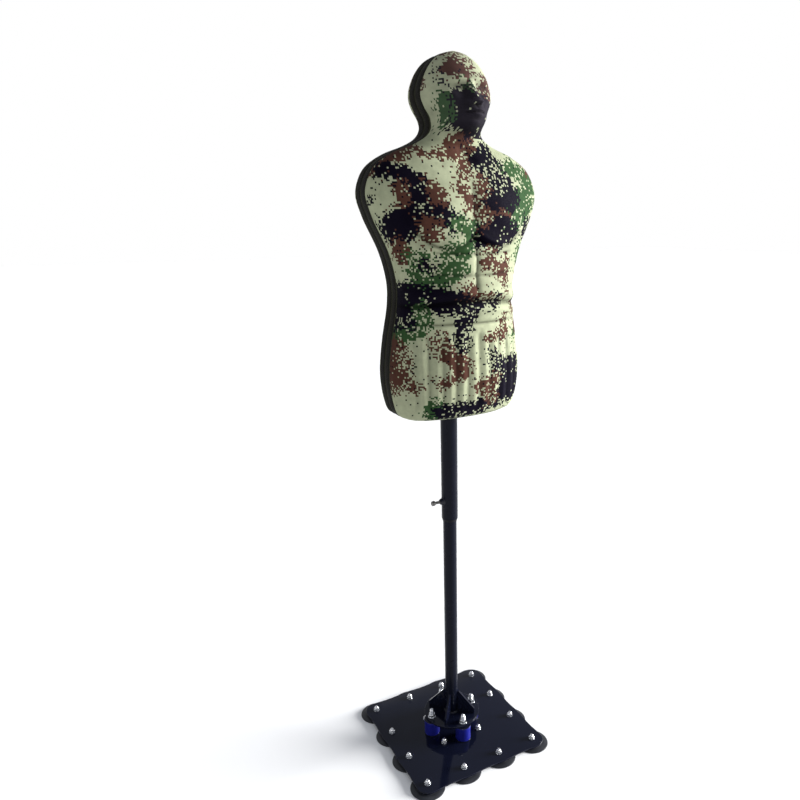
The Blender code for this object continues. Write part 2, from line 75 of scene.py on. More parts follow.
# ---- places read from the CAD -------------------------------------------------------------------
PLATE_LOW, PLATE_TOP = low("base_plate").z, high("base_plate").z
FLANGE_LOW, FLANGE_TOP = low("flange_plate").z, high("flange_plate").z
FLANGE_RADIUS = high("flange_plate").x
LOWER_RADIUS = high("lower_tube").x
UPPER_RADIUS = high("upper_tube").x
BAND_FRONT, BAND_SPLIT, BAND_REAR = low("front_band").y, low("rear_band").y, high("rear_band").y
TORSO_BASE, CROWN = low("front_cushion").z, high("front_cushion").z
CLAMP_Z = centre("clamp_screw").z
SECTION_POWER = 2.3             # superellipse exponent of the cushions' cross-section
SEAM = 0.0036                   # half width of a stitched seam's valley
ROW, COLUMNS, COARSE_COLUMNS = 0.0027, 176, 56  # a cushion's row height and its columns
CUPS = [f"{number:02d}" for number in range(1, 17)]
DAMPERS = ("front", "rear", "left", "right")
CLEARANCE = 0.0003              # between pieces that rest on each other
CAP_NUT_FLATS, STUD_NUT_FLATS, SCREW_FLATS = 0.016, 0.018, 0.013
STUD_PITCH, SCREW_PITCH = 0.00175, 0.00125


# ---- material building --------------------------------------------------------------------------
def add_node(tree, kind, inputs=None, **settings):
    """A new node, whose inputs are given values or other nodes' outputs."""
    node = tree.nodes.new(kind)
    for key, value in settings.items():
        setattr(node, key, value)
    for key, value in (inputs or {}).items():
        socket = node.inputs[key]
        if isinstance(value, bpy.types.NodeSocket):
            tree.links.new(value, socket)
        else:
            socket.default_value = value
    return node


class Nodes:
    """Short calls for building one material's node tree."""

    def __init__(self, name, colour=(0.5, 0.5, 0.5), roughness=0.5, **fixed):
        self.material = bpy.data.materials.new(name)
        self.material.use_nodes = True
        self.tree = self.material.node_tree
        self.shader = self.tree.nodes["Principled BSDF"]
        self.shader.inputs["Base Color"].default_value = (*colour, 1.0)
        self.shader.inputs["Roughness"].default_value = roughness
        for socket, value in fixed.items():
            self.shader.inputs[socket.replace("_", " ")].default_value = value
        self.place = self.add("ShaderNodeTexCoord").outputs["Object"]

    def add(self, kind, inputs=None, **settings):
        return add_node(self.tree, kind, inputs, **settings)

    def math(self, operation, first, second=0.0, third=0.0):
        return self.add("ShaderNodeMath", {0: first, 1: second, 2: third}, operation=operation).outputs[0]

    def vector(self, operation, first, second=(0.0, 0.0, 0.0)):
        node = self.add("ShaderNodeVectorMath", {0: first, 1: second}, operation=operation)
        return node.outputs["Value" if operation == "LENGTH" else "Vector"]

    def scaled(self, vector, size):
        return self.add("ShaderNodeVectorMath", {0: vector, "Scale": size}, operation="SCALE").outputs[0]

    def noise(self, scale, detail=2.0, roughness=0.5, place=None, output="Fac"):
        inputs = {"Scale": scale, "Detail": detail, "Roughness": roughness, "Vector": place or self.place}
        return self.add("ShaderNodeTexNoise", inputs).outputs[output]

    def white_noise(self, place):
        return self.add("ShaderNodeTexWhiteNoise", {"Vector": place}, noise_dimensions="3D")

    def span(self, value, low_in, high_in, low_out, high_out):
        inputs = {0: value, 1: low_in, 2: high_in, 3: low_out, 4: high_out}
        return self.add("ShaderNodeMapRange", inputs).outputs[0]

    def mix(self, factor, first, second):
        node = self.add("ShaderNodeMix", {0: factor, 6: first, 7: second}, data_type="RGBA")
        return node.outputs[2]

    def pick(self, factor, first, second):
        return self.add("ShaderNodeMix", {0: factor, 2: first, 3: second}).outputs[0]

    def colour(self, socket):
        self.tree.links.new(socket, self.shader.inputs["Base Color"])

    def rough(self, socket):
        self.tree.links.new(socket, self.shader.inputs["Roughness"])

    def bump(self, height, distance):
        node = self.add("ShaderNodeBump", {"Height": height, "Distance": distance, "Strength": 1.0})
        self.tree.links.new(node.outputs[0], self.shader.inputs["Normal"])

    def weave(self, pitch):
        """A plain weave in the X-Z plane: warp and weft ridges that pass over each other."""
        split = self.add("ShaderNodeSeparateXYZ", {0: self.place})
        turn = math.pi / pitch
        across = self.math("SINE", self.math("MULTIPLY", split.outputs["X"], turn))
        down = self.math("SINE", self.math("MULTIPLY", split.outputs["Z"], turn))
        depth = self.math("SINE", self.math("MULTIPLY", split.outputs["Y"], turn))
        return self.math("MULTIPLY", self.math("ADD", across, depth), down)


def rgba(red, green, blue):
    return (red, green, blue, 1.0)


# ---- camouflage ---------------------------------------------------------------------------------
CELL = 0.00365                  # side of one square of the print
PAIR_BAR = 0.62                 # squares past this go two by two
SCATTER, LEAST_SCATTER = 0.044, 0.005  # how far off a square may take its colour
BEND, BEND_SCALE = 0.024, 34.0  # how far and how finely the patches' edges wander
PATCH_EDGE = 1.20               # a patch's edge, in its own half widths
THICKEST = 0.27                 # the largest share of loose light squares
DARK_BAR = 0.985                # squares past this are dark in any patch
NECK, JAW, BROW = (1.64, 1.68), (1.66, 1.70), (1.765, 1.785)  # heights between which the print changes
MIDDLE_GREY = (0.5, 0.5, 0.5)
GROUP = 16                      # patches that are worked out together
LIGHT, BROWN, GREEN, NAVY = range(4)
PALETTE = (
    (0.270, 0.290, 0.190),      # light sage
    (0.054, 0.023, 0.016),      # red brown
    (0.023, 0.054, 0.019),      # forest green
    (0.0028, 0.0020, 0.0060),   # near black, towards navy
)
# Where each patch of the print lies on the unrolled cover, in millimetres: its centre's distance from
# the middle line and its height, its half width and half height, then its tilt in degrees and its
# colour. A later patch lies on top of an earlier one.
FRONT_PATCHES = (
    # shoulders, from the mannequin's right to its left
    (-165, 1637, 52, 15, 8, BROWN), (-62, 1634, 76, 7, -4, BROWN), (-12, 1652, 34, 20, 0, BROWN),
    (-207, 1603, 24, 15, 10, NAVY), (-232, 1607, 12, 16, 0, BROWN), (-150, 1588, 40, 18, -25, NAVY),
    (-238, 1546, 10, 8, 0, NAVY), (-160, 1552, 21, 25, 0, BROWN), (-125, 1542, 20, 34, 20, NAVY),
    (-90, 1548, 17, 36, 25, BROWN), (-5, 1612, 21, 17, 0, BROWN), (-28, 1572, 14, 20, 0, BROWN),
    (30, 1568, 17, 42, 0, BROWN), (60, 1612, 47, 20, -15, NAVY), (78, 1582, 32, 28, 0, NAVY),
    (142, 1600, 42, 24, -30, GREEN), (126, 1574, 18, 14, -20, LIGHT), (160, 1545, 24, 35, 0, GREEN),
    (205, 1602, 26, 18, 0, BROWN), (190, 1560, 22, 36, 0, GREEN),
    # chest
    (-178, 1487, 42, 28, 10, NAVY), (-130, 1512, 48, 15, 0, NAVY), (-85, 1508, 40, 14, -8, NAVY),
    (-68, 1500, 18, 24, 0, NAVY), (-122, 1495, 14, 13, 0, BROWN), (-105, 1478, 21, 21, -10, BROWN),
    (5, 1532, 34, 18, -10, BROWN), (70, 1536, 47, 20, 0, NAVY), (112, 1545, 20, 30, 10, NAVY),
    (145, 1515, 22, 22, 0, GREEN), (118, 1500, 17, 22, 20, GREEN), (65, 1512, 22, 10, 0, BROWN),
    (62, 1478, 52, 27, -5, NAVY), (25, 1506, 13, 22, 0, BROWN), (40, 1452, 40, 13, 0, NAVY),
    (-30, 1492, 32, 13, 0, GREEN), (-16, 1470, 15, 27, 0, GREEN), (175, 1480, 26, 20, 20, NAVY),
    # stomach
    (-178, 1436, 18, 25, 20, BROWN), (-50, 1430, 33, 20, 10, GREEN), (-55, 1402, 28, 23, 0, GREEN),
    (-20, 1440, 18, 11, 30, GREEN), (-135, 1422, 25, 11, 0, GREEN), (-110, 1394, 46, 14, 0, GREEN),
    (-115, 1406, 24, 9, 0, NAVY), (35, 1408, 27, 14, -10, BROWN), (62, 1392, 17, 13, 0, BROWN),
    (90, 1395, 13, 30, 0, BROWN), (46, 1438, 18, 7, 0, BROWN), (-105, 1376, 46, 13, -5, GREEN),
    (148, 1428, 18, 22, 0, GREEN), (175, 1395, 20, 26, 0, BROWN),
    # waist
    (-172, 1334, 78, 30, -3, NAVY), (-70, 1334, 78, 18, -6, NAVY), (-45, 1311, 56, 12, 0, NAVY),
    (-18, 1350, 18, 14, 0, BROWN), (45, 1324, 32, 13, 0, NAVY), (28, 1334, 24, 8, 0, BROWN),
    (88, 1360, 12, 24, 0, BROWN), (-205, 1292, 52, 40, 0, NAVY), (-185, 1276, 40, 15, 0, NAVY),
    (-128, 1302, 17, 23, 0, GREEN), (-165, 1249, 45, 11, 8, GREEN), (-112, 1280, 14, 14, 0, GREEN),
    (-28, 1248, 21, 40, 0, NAVY), (-6, 1284, 7, 22, 0, NAVY), (60, 1240, 32, 9, 8, BROWN),
    (95, 1256, 12, 36, 0, BROWN), (165, 1322, 26, 22, 0, NAVY), (140, 1300, 16, 14, 0, BROWN),
    (172, 1256, 22, 20, 0, BROWN), (150, 1232, 16, 10, 0, GREEN),
    # hips
    (-82, 1230, 18, 26, 15, BROWN), (-52, 1195, 27, 14, -10, BROWN), (-28, 1172, 24, 24, -20, BROWN),
    (-60, 1143, 34, 11, 12, BROWN), (-198, 1178, 44, 56, 0, BROWN), (-172, 1135, 40, 13, -8, BROWN),
    (-147, 1178, 7, 11, 0, NAVY), (55, 1195, 17, 14, 0, NAVY), (75, 1172, 23, 20, 0, NAVY),
    (132, 1128, 42, 50, 0, NAVY), (98, 1092, 28, 22, 0, NAVY), (-95, 1070, 29, 25, 0, GREEN),
    (-38, 1064, 56, 21, 0, NAVY), (30, 1070, 53, 17, 8, NAVY), (28, 1118, 27, 18, 0, BROWN),
    (56, 1086, 20, 13, 0, BROWN), (62, 1138, 17, 14, 0, BROWN),
    # head and neck
    (-18, 1804, 31, 20, 0, BROWN), (-46, 1797, 20, 7, 10, BROWN), (-25, 1842, 55, 6, 0, BROWN),
    (-85, 1793, 13, 3, 10, NAVY), (-64, 1784, 3, 12, 0, NAVY), (-124, 1772, 14, 12, 0, BROWN),
    (-10, 1762, 11, 9, 0, GREEN), (46, 1767, 20, 21, 0, BROWN), (-16, 1722, 56, 32, 0, NAVY),
    (34, 1706, 50, 32, 0, NAVY), (-40, 1745, 28, 11, 0, NAVY), (-66, 1720, 18, 30, 0, GREEN),
    (24, 1687, 42, 14, 0, NAVY), (52, 1646, 20, 12, 0, NAVY),
)

# Where loose light squares are thickest, in millimetres: centre, half width and half height.
SPECKLED_PLACES = (
    (62, 1592, 50, 42), (-95, 1412, 62, 34), (-28, 1240, 26, 40), (40, 1325, 45, 20), (50, 1180, 36, 34),
    (-170, 1185, 28, 46),
)


def camouflage(name, patches, drift):
    """A printed woven cover. The pieces carry the unrolled cover's coordinates in their "print"
    attribute. Without patches, the print is made from noise alone."""
    made = Nodes(name, roughness=0.70, Sheen_Weight=0.008, Sheen_Roughness=0.45, Specular_IOR_Level=0.02)
    lifted = drift * 0.7
    unrolled = made.add("ShaderNodeAttribute", attribute_name="print").outputs["Vector"]
    moved = made.vector("ADD", unrolled, (drift, 0.0, lifted))
    cell = made.vector("SNAP", moved, (CELL, 1.0, CELL))
    key = made.scaled(cell, 1 / CELL)
    local = thrown(made, moved, cell, key)
    index = patched_print(made, local, patches) if patches else noise_print(made, local)
    height = made.math("SUBTRACT", made.add("ShaderNodeSeparateXYZ", {0: cell}).outputs["Z"], lifted)
    index = loose_squares(made, index, cell, key, height, SPECKLED_PLACES if patches else ())

    wear_and_crease_shade = made.span(made.noise(60.0, 4.0, 0.6), 0.3, 0.7, 0.88, 1.10)
    # painted shade: the print is darkened down in the cover's folds, to 0.45 of its tone at the deepest,
    # where shade falls
    folds = made.add("ShaderNodeAttribute", attribute_name="fold").outputs["Fac"]
    wear_and_crease_shade = made.math("MULTIPLY", wear_and_crease_shade, made.span(folds, 0.0, 1.0, 1.0, 0.45))
    # painted sheen: over the face the print is paler, mixed towards a pale grey that stands for light
    # reflected off the cover
    painted_face_sheen = made.span(height, *JAW, 0.0, 0.06)
    made.colour(made.mix(painted_face_sheen, made.scaled(dyed(made, index), wear_and_crease_shade), rgba(0.20, 0.18, 0.20)))
    made.rough(made.span(made.noise(240.0, 3.0), 0.3, 0.7, 0.62, 0.78))
    threads = made.weave(0.0009)
    creases = made.noise(34.0, 3.0, 0.55)
    made.bump(made.math("MULTIPLY_ADD", creases, 6.0, made.math("MULTIPLY", threads, 0.35)), 0.00022)
    return made.material


def thrown(made, moved, cell, key):
    """Where each square takes its colour: a little way off, alone or with the one beside it, so that
    patches break up at their edges into loose squares."""
    toss = made.white_noise(key)
    pair = made.vector("SNAP", moved, (2 * CELL, 1.0, CELL))
    pair_toss = made.white_noise(made.scaled(pair, 1 / CELL))
    use_pair = made.math("GREATER_THAN", pair_toss.outputs["Value"], PAIR_BAR)
    spread = made.mix(use_pair, toss.outputs["Color"], pair_toss.outputs["Color"])
    reach = made.math("POWER", toss.outputs["Value"], 2.0)
    reach = made.math("MULTIPLY_ADD", reach, SCATTER, LEAST_SCATTER)
    offset = made.scaled(made.vector("SUBTRACT", spread, MIDDLE_GREY), reach)
    ripple = made.noise(BEND_SCALE, 2.0, 0.6, cell, "Color")
    bend = made.scaled(made.vector("SUBTRACT", ripple, MIDDLE_GREY), BEND)
    local = made.vector("ADD", made.vector("ADD", cell, offset), bend)
    return made.vector("MULTIPLY", local, (1.0, 0.0, 1.0))


def loose_squares(made, index, cell, key, height, places):
    """Loose squares of light in the dark, in drifts and at some places, and a few of dark in the
    light."""
    stray = made.white_noise(made.vector("ADD", key, (17.0, 3.0, 9.0))).outputs["Value"]
    drifts = made.noise(22.0, 2.0, 0.6, made.vector("ADD", cell, (1.7, 0.0, 4.1)))
    most = made.math("ADD", made.span(height, *NECK, THICKEST, 0.03), made.span(height, *BROW, 0.0, 0.20))
    share = made.span(drifts, 0.50, 0.70, 0.006, most)
    on_brown_or_green = made.math("COMPARE", index, (BROWN + GREEN) / 2, 0.75)
    more = made.math("MULTIPLY", most, made.span(drifts, 0.42, 0.64, 0.07, 0.72))
    share = made.math("MULTIPLY_ADD", on_brown_or_green, more, share)
    for place in places:
        across, level, half_width, half_height = (value / 1000 for value in place)
        near = made.vector("DIVIDE", made.vector("SUBTRACT", cell, (across, 0.0, level)),
                           (half_width, 1.0, half_height))
        thick = made.span(made.vector("LENGTH", near), 0.5, 1.2, THICKEST, 0.0)
        share = made.math("MAXIMUM", share, thick)
    index = made.pick(made.math("LESS_THAN", stray, share), index, float(LIGHT))
    return made.pick(made.math("GREATER_THAN", stray, DARK_BAR), index, float(NAVY))


def dyed(made, index):
    """The colour that belongs to each number."""
    step = 1 / len(PALETTE)
    ramp = made.add("ShaderNodeValToRGB", {0: made.math("MULTIPLY_ADD", index, step, step / 2)})
    ramp.color_ramp.interpolation = "CONSTANT"
    while len(ramp.color_ramp.elements) < len(PALETTE):
        ramp.color_ramp.elements.new(0.5)
    for number, colour in enumerate(PALETTE):
        ramp.color_ramp.elements[number].position = number * step
        ramp.color_ramp.elements[number].color = rgba(*colour)
    return ramp.outputs[0]


def patched_print(made, local, patches):
    """The colour's number at each place: light, with the patches over it."""
    index = made.pick(0.0, float(LIGHT), float(LIGHT))
    for number, (*sizes, tilt, shade) in enumerate(patches):
        if number % GROUP == 0:
            # the renderer has room for few values at once, so each group waits for the one before it
            place = made.vector("ADD", local, made.math("MULTIPLY", index, 1e-7))
        across, height, half_width, half_height = (value / 1000 for value in sizes)
        near = made.add("ShaderNodeMapping", {
            "Vector": place, "Location": (across, 0.0, height),
            "Rotation": (0.0, math.radians(-tilt), 0.0), "Scale": (half_width, 1.0, half_height),
        }, vector_type="TEXTURE").outputs[0]
        inside = made.math("LESS_THAN", made.vector("LENGTH", near), PATCH_EDGE)
        index = made.pick(inside, index, float(shade))
    return index


def noise_print(made, local):
    """The colour's number at each place, for a cover that has no patches of its own."""
    broad = made.noise(9.0, 1.0, 0.4, local)
    fine = made.noise(17.0, 1.0, 0.4, made.vector("ADD", local, (3.1, 0.0, 5.7)))
    other = made.noise(12.0, 1.0, 0.4, made.vector("ADD", local, (8.3, 0.0, 1.9)))
    index = made.pick(made.math("GREATER_THAN", fine, 0.53), float(LIGHT), float(BROWN))
    index = made.pick(made.math("GREATER_THAN", broad, 0.54), index, float(NAVY))
    return made.pick(made.math("LESS_THAN", other, 0.42), index, float(GREEN))


def woven(name, colour, highlight, roughness, pitch):
    made = Nodes(name, roughness=roughness, Sheen_Weight=0.012, Sheen_Roughness=0.4,
                 Specular_IOR_Level=0.04)
    threads = made.weave(pitch)
    cloudy = made.noise(45.0, 4.0, 0.6)
    share = made.math("MULTIPLY_ADD", threads, 0.25, made.span(cloudy, 0.3, 0.7, 0.0, 0.7))
    made.colour(made.mix(share, rgba(*colour), rgba(*highlight)))
    made.rough(made.span(cloudy, 0.3, 0.7, roughness - 0.07, roughness + 0.08))
    made.bump(made.math("MULTIPLY_ADD", cloudy, 1.5, threads), 0.00025)
    return made.material


def gloss_paint(name, colour, roughness, specular):
    made = Nodes(name, colour, roughness, Specular_IOR_Level=specular)
    haze = made.noise(7.0, 5.0, 0.6)
    dust = made.noise(420.0, 2.0, 0.7)
    dusty = made.span(dust, 0.62, 0.80, 0.0, 0.35)
    made.colour(made.mix(dusty, rgba(*colour), rgba(0.018, 0.019, 0.024)))
    made.rough(made.span(haze, 0.3, 0.7, roughness * 0.7, roughness * 1.4))
    made.bump(made.noise(95.0, 2.0, 0.5), 0.00003)
    return made.material


def moulded(name, colour, dusty, roughness, grain, depth, specular=0.5):
    made = Nodes(name, colour, roughness, Specular_IOR_Level=specular)
    cloud = made.noise(28.0, 5.0, 0.6)
    made.colour(made.mix(made.span(cloud, 0.40, 0.75, 0.0, 1.0), rgba(*colour), rgba(*dusty)))
    made.rough(made.span(cloud, 0.3, 0.7, roughness - 0.06, roughness + 0.10))
    made.bump(made.noise(grain, 3.0, 0.6), depth)
    return made.material


def metal(name, colour, roughness):
    made = Nodes(name, colour, roughness, Metallic=1.0)
    cloud = made.noise(130.0, 4.0, 0.6)
    made.colour(made.mix(cloud, rgba(*[0.82 * part for part in colour]), rgba(*colour)))
    made.rough(made.span(cloud, 0.3, 0.7, roughness * 0.7, roughness * 1.5))
    made.bump(made.noise(420.0, 3.0, 0.5), 0.00003)
    return made.material


CAMO_FRONT = camouflage("camouflage_front", FRONT_PATCHES, 0.0)
CAMO_REAR = camouflage("camouflage_rear", (), 2.3)
BAND_COVER = woven("band_cover", (0.004, 0.0038, 0.0026), (0.010, 0.009, 0.006), 0.65, 0.0011)
PIPING = woven("piping_cover", (0.022, 0.024, 0.014), (0.048, 0.050, 0.030), 0.60, 0.0009)
PAINT = gloss_paint("black_gloss_paint", (0.0035, 0.0045, 0.012), 0.08, 0.30)
MAST_PAINT = gloss_paint("mast_paint", (0.0022, 0.0030, 0.0080), 0.26, 0.10)
RUBBER = moulded("black_rubber", (0.008, 0.009, 0.013), (0.018, 0.019, 0.025), 0.45, 900.0, 0.00006)
ELASTOMER = moulded("blue_elastomer", (0.003, 0.005, 0.120), (0.006, 0.009, 0.180), 0.30, 700.0, 0.00005)
PLASTIC = moulded("black_plastic", (0.004, 0.004, 0.006), (0.008, 0.008, 0.011), 0.45, 1400.0, 0.00004,
                  0.10)
PLATING = metal("bright_plating", (0.80, 0.81, 0.83), 0.16)
DULL_PLATING = metal("dulled_plating", (0.15, 0.145, 0.14), 0.40)
BRASS = metal("pad_brass", (0.62, 0.44, 0.18), 0.28)
STEEL = metal("raw_steel", (0.34, 0.34, 0.35), 0.38)
FOAM = moulded("foam", (0.42, 0.41, 0.37), (0.50, 0.49, 0.44), 0.90, 260.0, 0.0008)


# ---- mesh helpers -------------------------------------------------------------------------------
def piece(name, mesh, finish, body, smooth=40):
    """A finished object in the scene: material, slot, shading and, when one is given, its body."""
    made = bpy.data.objects.new(name, mesh)
    bpy.context.scene.collection.objects.link(made)
    mesh.materials.append(finish)
    mesh.shade_smooth()
    mesh.set_sharp_from_angle(angle=math.radians(smooth))
    if body is not None:
        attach(made, body)
    return made


def mesh_of(name, points, faces):
    mesh = bpy.data.meshes.new(name)
    mesh.from_pydata([tuple(point) for point in points], [], faces)
    shape = bmesh.new()
    shape.from_mesh(mesh)
    bmesh.ops.recalc_face_normals(shape, faces=shape.faces)
    shape.to_mesh(mesh)
    shape.free()
    return mesh


def quads(rows, columns, wrap_rows=False, wrap_columns=True):
    """Faces between points that are listed row by row."""
    return [(row * columns + column, row * columns + (column + 1) % columns,
             (row + 1) % rows * columns + (column + 1) % columns, (row + 1) % rows * columns + column)
            for row in range(rows if wrap_rows else rows - 1)
            for column in range(columns if wrap_columns else columns - 1)]


def end_faces(rows, columns):
    return [tuple(row * columns + column for column in range(columns)) for row in (0, rows - 1)]


def hexagon(flats, angle):
    """Distance from the axis of a hexagon's side, at an angle from one corner."""
    corner = math.pi / 3
    return flats / 2 / math.cos((angle % corner) - corner / 2)


def turned(name, profile, steps, closed=False, matrix=None):
    """A body of revolution about Z through (radius, z) points, or (across flats, z, "hex") ones."""
    points = []
    for size, height, *kind in profile:
        for step in range(steps):
            angle = 2 * math.pi * step / steps
            radius = hexagon(size, angle) if kind else size
            points.append((radius * math.cos(angle), radius * math.sin(angle), height))
    faces = quads(len(profile), steps, wrap_rows=closed)
    mesh = mesh_of(name, points, faces if closed else faces + end_faces(len(profile), steps))
    if matrix is not None:
        mesh.transform(matrix)
    return mesh


def placed(mesh, where):
    """A copy of a mesh moved to its own place."""
    moved = mesh.copy()
    moved.transform(Matrix.Translation(where))
    return moved


def rounded(corners, radius, steps=4):
    """A profile whose corners are cut by small arcs, all but the first and the last."""
    made = [corners[0]]
    for before, here, after in zip(corners, corners[1:], corners[2:]):
        before, here, after = Vector(before), Vector(here), Vector(after)
        reach = min(radius, (before - here).length * 0.45, (after - here).length * 0.45)
        start = here + (before - here).normalized() * reach
        end = here + (after - here).normalized() * reach
        for step in range(steps + 1):
            share = step / steps
            point = start * (1 - share) ** 2 + here * 2 * share * (1 - share) + end * share ** 2
            made.append((point.x, point.y))
    return made + [corners[-1]]


def smooth_curve(points, spacing):
    """Points along a centripetal Catmull-Rom curve through the given ones, evenly spaced in their
    first two coordinates."""
    points = np.array(points, float)
    padded = np.vstack([2 * points[0] - points[1], points, 2 * points[-1] - points[-2]])
    dense = []
    for four in zip(padded, padded[1:], padded[2:], padded[3:]):
        knots = [0.0]
        for one, two in zip(four, four[1:]):
            knots.append(knots[-1] + max(np.linalg.norm(two - one), 1e-9) ** 0.5)
        for at in np.linspace(knots[1], knots[2], 16, endpoint=False):
            # each round blends the neighbours that are left, until one point is left
            blended = four
            for ends in (((0, 1), (1, 2), (2, 3)), ((0, 2), (1, 3)), ((1, 2),)):
                blended = [
                    (knots[end] - at) / (knots[end] - knots[start]) * one
                    + (at - knots[start]) / (knots[end] - knots[start]) * two
                    for (start, end), one, two in zip(ends, blended, blended[1:])
                ]
            dense.append(blended[0])
    dense = np.array(dense + [points[-1]])
    steps = np.linalg.norm(np.diff(dense[:, :2], axis=0), axis=1)
    travelled = np.concatenate([[0.0], np.cumsum(steps)])
    wanted = np.linspace(0.0, travelled[-1], max(2, round(travelled[-1] / spacing)) + 1)
    return np.stack([np.interp(wanted, travelled, dense[:, axis]) for axis in range(points.shape[1])], 1)


# ---- base ---------------------------------------------------------------------------------------
def make_plate():
    """The scalloped plate, finer than the CAD's and with its edges rounded."""
    grid = sorted({round(centre(f"cup_nut_{cup}").x, 4) for cup in CUPS})
    pitch, reach = grid[1] - grid[0], grid[-1]
    lobe = high("base_plate").x - reach
    wave, edge_steps, corner_steps = 0.0015, 24, 16
    outline = []
    for side in range(4):
        turn = Matrix.Rotation(side * math.pi / 2, 3, "Z")
        for step in range(2, edge_steps * 3 - 1):
            along = step / edge_steps
            edge = lobe - wave * (1 - math.cos(2 * math.pi * along))
            outline.append(turn @ Vector((reach + edge, -reach + along * pitch, 0)))
        for step in range(corner_steps + 1):
            angle = math.pi / 2 * step / corner_steps
            corner = Vector((reach + lobe * math.cos(angle), reach + lobe * math.sin(angle), 0))
            outline.append(turn @ corner)
    loop = np.array([(point.x, point.y) for point in outline])
    tangent = np.roll(loop, -1, 0) - np.roll(loop, 1, 0)
    tangent /= np.linalg.norm(tangent, axis=1)[:, None]
    outward = np.stack([tangent[:, 1], -tangent[:, 0]], 1)
    rounding, steps = 0.0011, 4
    angles = [math.pi / 2 * step / steps for step in range(steps + 1)]
    rings = [(-rounding * (1 - math.sin(angle)), PLATE_LOW + rounding * (1 - math.cos(angle)))
             for angle in angles]
    rings += [(-rounding * (1 - math.cos(angle)), PLATE_TOP - rounding * (1 - math.sin(angle)))
              for angle in angles]
    points = [(*(place + away * shift), height) for shift, height in rings
              for place, away in zip(loop, outward)]
    faces = quads(len(rings), len(loop)) + end_faces(len(rings), len(loop))
    mesh = mesh_of("plate_finish", points, faces)
    plate = piece("plate_finish", mesh, PAINT, "base", 50)
    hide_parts("base_plate")


def make_cups():
    """Pressed-flat rubber cups with a rounded lip, and domed cap nuts."""
    crown = high("suction_cup_01").z
    radius = (high("suction_cup_01").x - low("suction_cup_01").x) / 2
    cup_profile = rounded([
        (0.0005, 0.0034), (0.0060, 0.0036), (0.0320, 0.0029), (0.0455, 0.0004), (radius - 0.001, 0.0),
        (radius, 0.0008), (radius - 0.0004, 0.0021), (0.0440, 0.0034), (0.0375, 0.0046), (0.0330, 0.0050),
        (0.0300, 0.0062), (0.0220, crown), (0.0005, crown),
    ], 0.0012)
    cup_mesh = turned("cup_shape", cup_profile, 72)
    foot, top = PLATE_TOP + CLEARANCE, high("cup_nut_01").z
    nut_profile = [
        (0.0050, foot - 0.003), (0.0050, foot), (0.0093, foot), (0.0093, foot + 0.0011),
        (0.0079, foot + 0.0011), (CAP_NUT_FLATS, foot + 0.0016, "hex"),
        (CAP_NUT_FLATS, foot + 0.0058, "hex"), (0.0078, foot + 0.0066), (0.0066, foot + 0.0070),
    ]
    dome_start, dome_radius, dome_steps = foot + 0.0072, 0.0062, 8
    for step in range(dome_steps + 1):
        share = step / dome_steps
        nut_profile.append((dome_radius * math.cos(share * 1.42) ** 0.8,
                            dome_start + (top - dome_start) * math.sin(share * math.pi / 2)))
    nut_mesh = turned("cap_nut_shape", nut_profile, 48)
    for cup in CUPS:
        where = centre(f"suction_cup_{cup}")
        where = Vector((where.x, where.y, 0))
        rubber = piece(f"cup_{cup}", placed(cup_mesh, where), RUBBER, "base", 50)
        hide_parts(f"suction_cup_{cup}")
        spun = nut_mesh.copy()
        spun.transform(Matrix.Rotation(math.radians(int(cup) * 37 % 60), 4, "Z"))
        nut = piece(f"cap_nut_{cup}", placed(spun, where), PLATING, "base", 30)
        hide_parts(f"cup_nut_{cup}")


# ---- dampers and flange -------------------------------------------------------------------------
def make_dampers():
    """Each block is two halves that meet level with the rocking axes."""
    middle = next(joint for joint in frame["joints"] if joint["name"] == "rock_fore_aft")["pos_m"][2]
    foot, top = PLATE_TOP + CLEARANCE, FLANGE_LOW - CLEARANCE
    steps, plate_height, gap, core = 20, 0.0020, 0.0022, 0.001
    for place in DAMPERS:
        node = f"damper_{place}"
        axis = centre(node)
        radius = high(node).x - axis.x
        barrel = []
        for step in range(steps + 1):
            share = step / steps
            waist = 1 - 0.030 * math.sin(math.pi * share)
            lip = 0.0008 * (abs(2 * share - 1) ** 14)
            barrel.append((radius * waist - lip, foot + gap + (top - foot - 2 * gap) * share))
        below = [point for point in barrel if point[1] < middle - 1e-4]
        above = [point for point in barrel if point[1] > middle + 1e-4]
        cut = [(radius * 0.970, middle), (core, middle)]
        halves = (
            ("lower", [(core, barrel[0][1])] + below + cut, "base", "side_rock"),
            ("upper", cut[::-1] + above + [(core, barrel[-1][1])], "side_rock", "stand"),
        )
        for half, profile, first, second in halves:
            mesh = placed(turned(f"{node}_{half}", profile, 64), (axis.x, axis.y, 0))
            block = piece(f"damper_block_{place}_{half}", mesh, ELASTOMER, None, 50)
            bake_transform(block)
            if half == "lower":
                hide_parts(node)
        for part, height, body in (("foot", foot, "base"), ("head", top - plate_height, "stand")):
            rim = radius + 0.0004
            washer = rounded([(core, height), (rim, height), (rim, height + plate_height),
                              (core, height + plate_height)], 0.0005)
            mesh = placed(turned(f"{node}_{part}", washer, 64), (axis.x, axis.y, 0))
            piece(f"damper_plate_{place}_{part}", mesh, PAINT, body, 40)


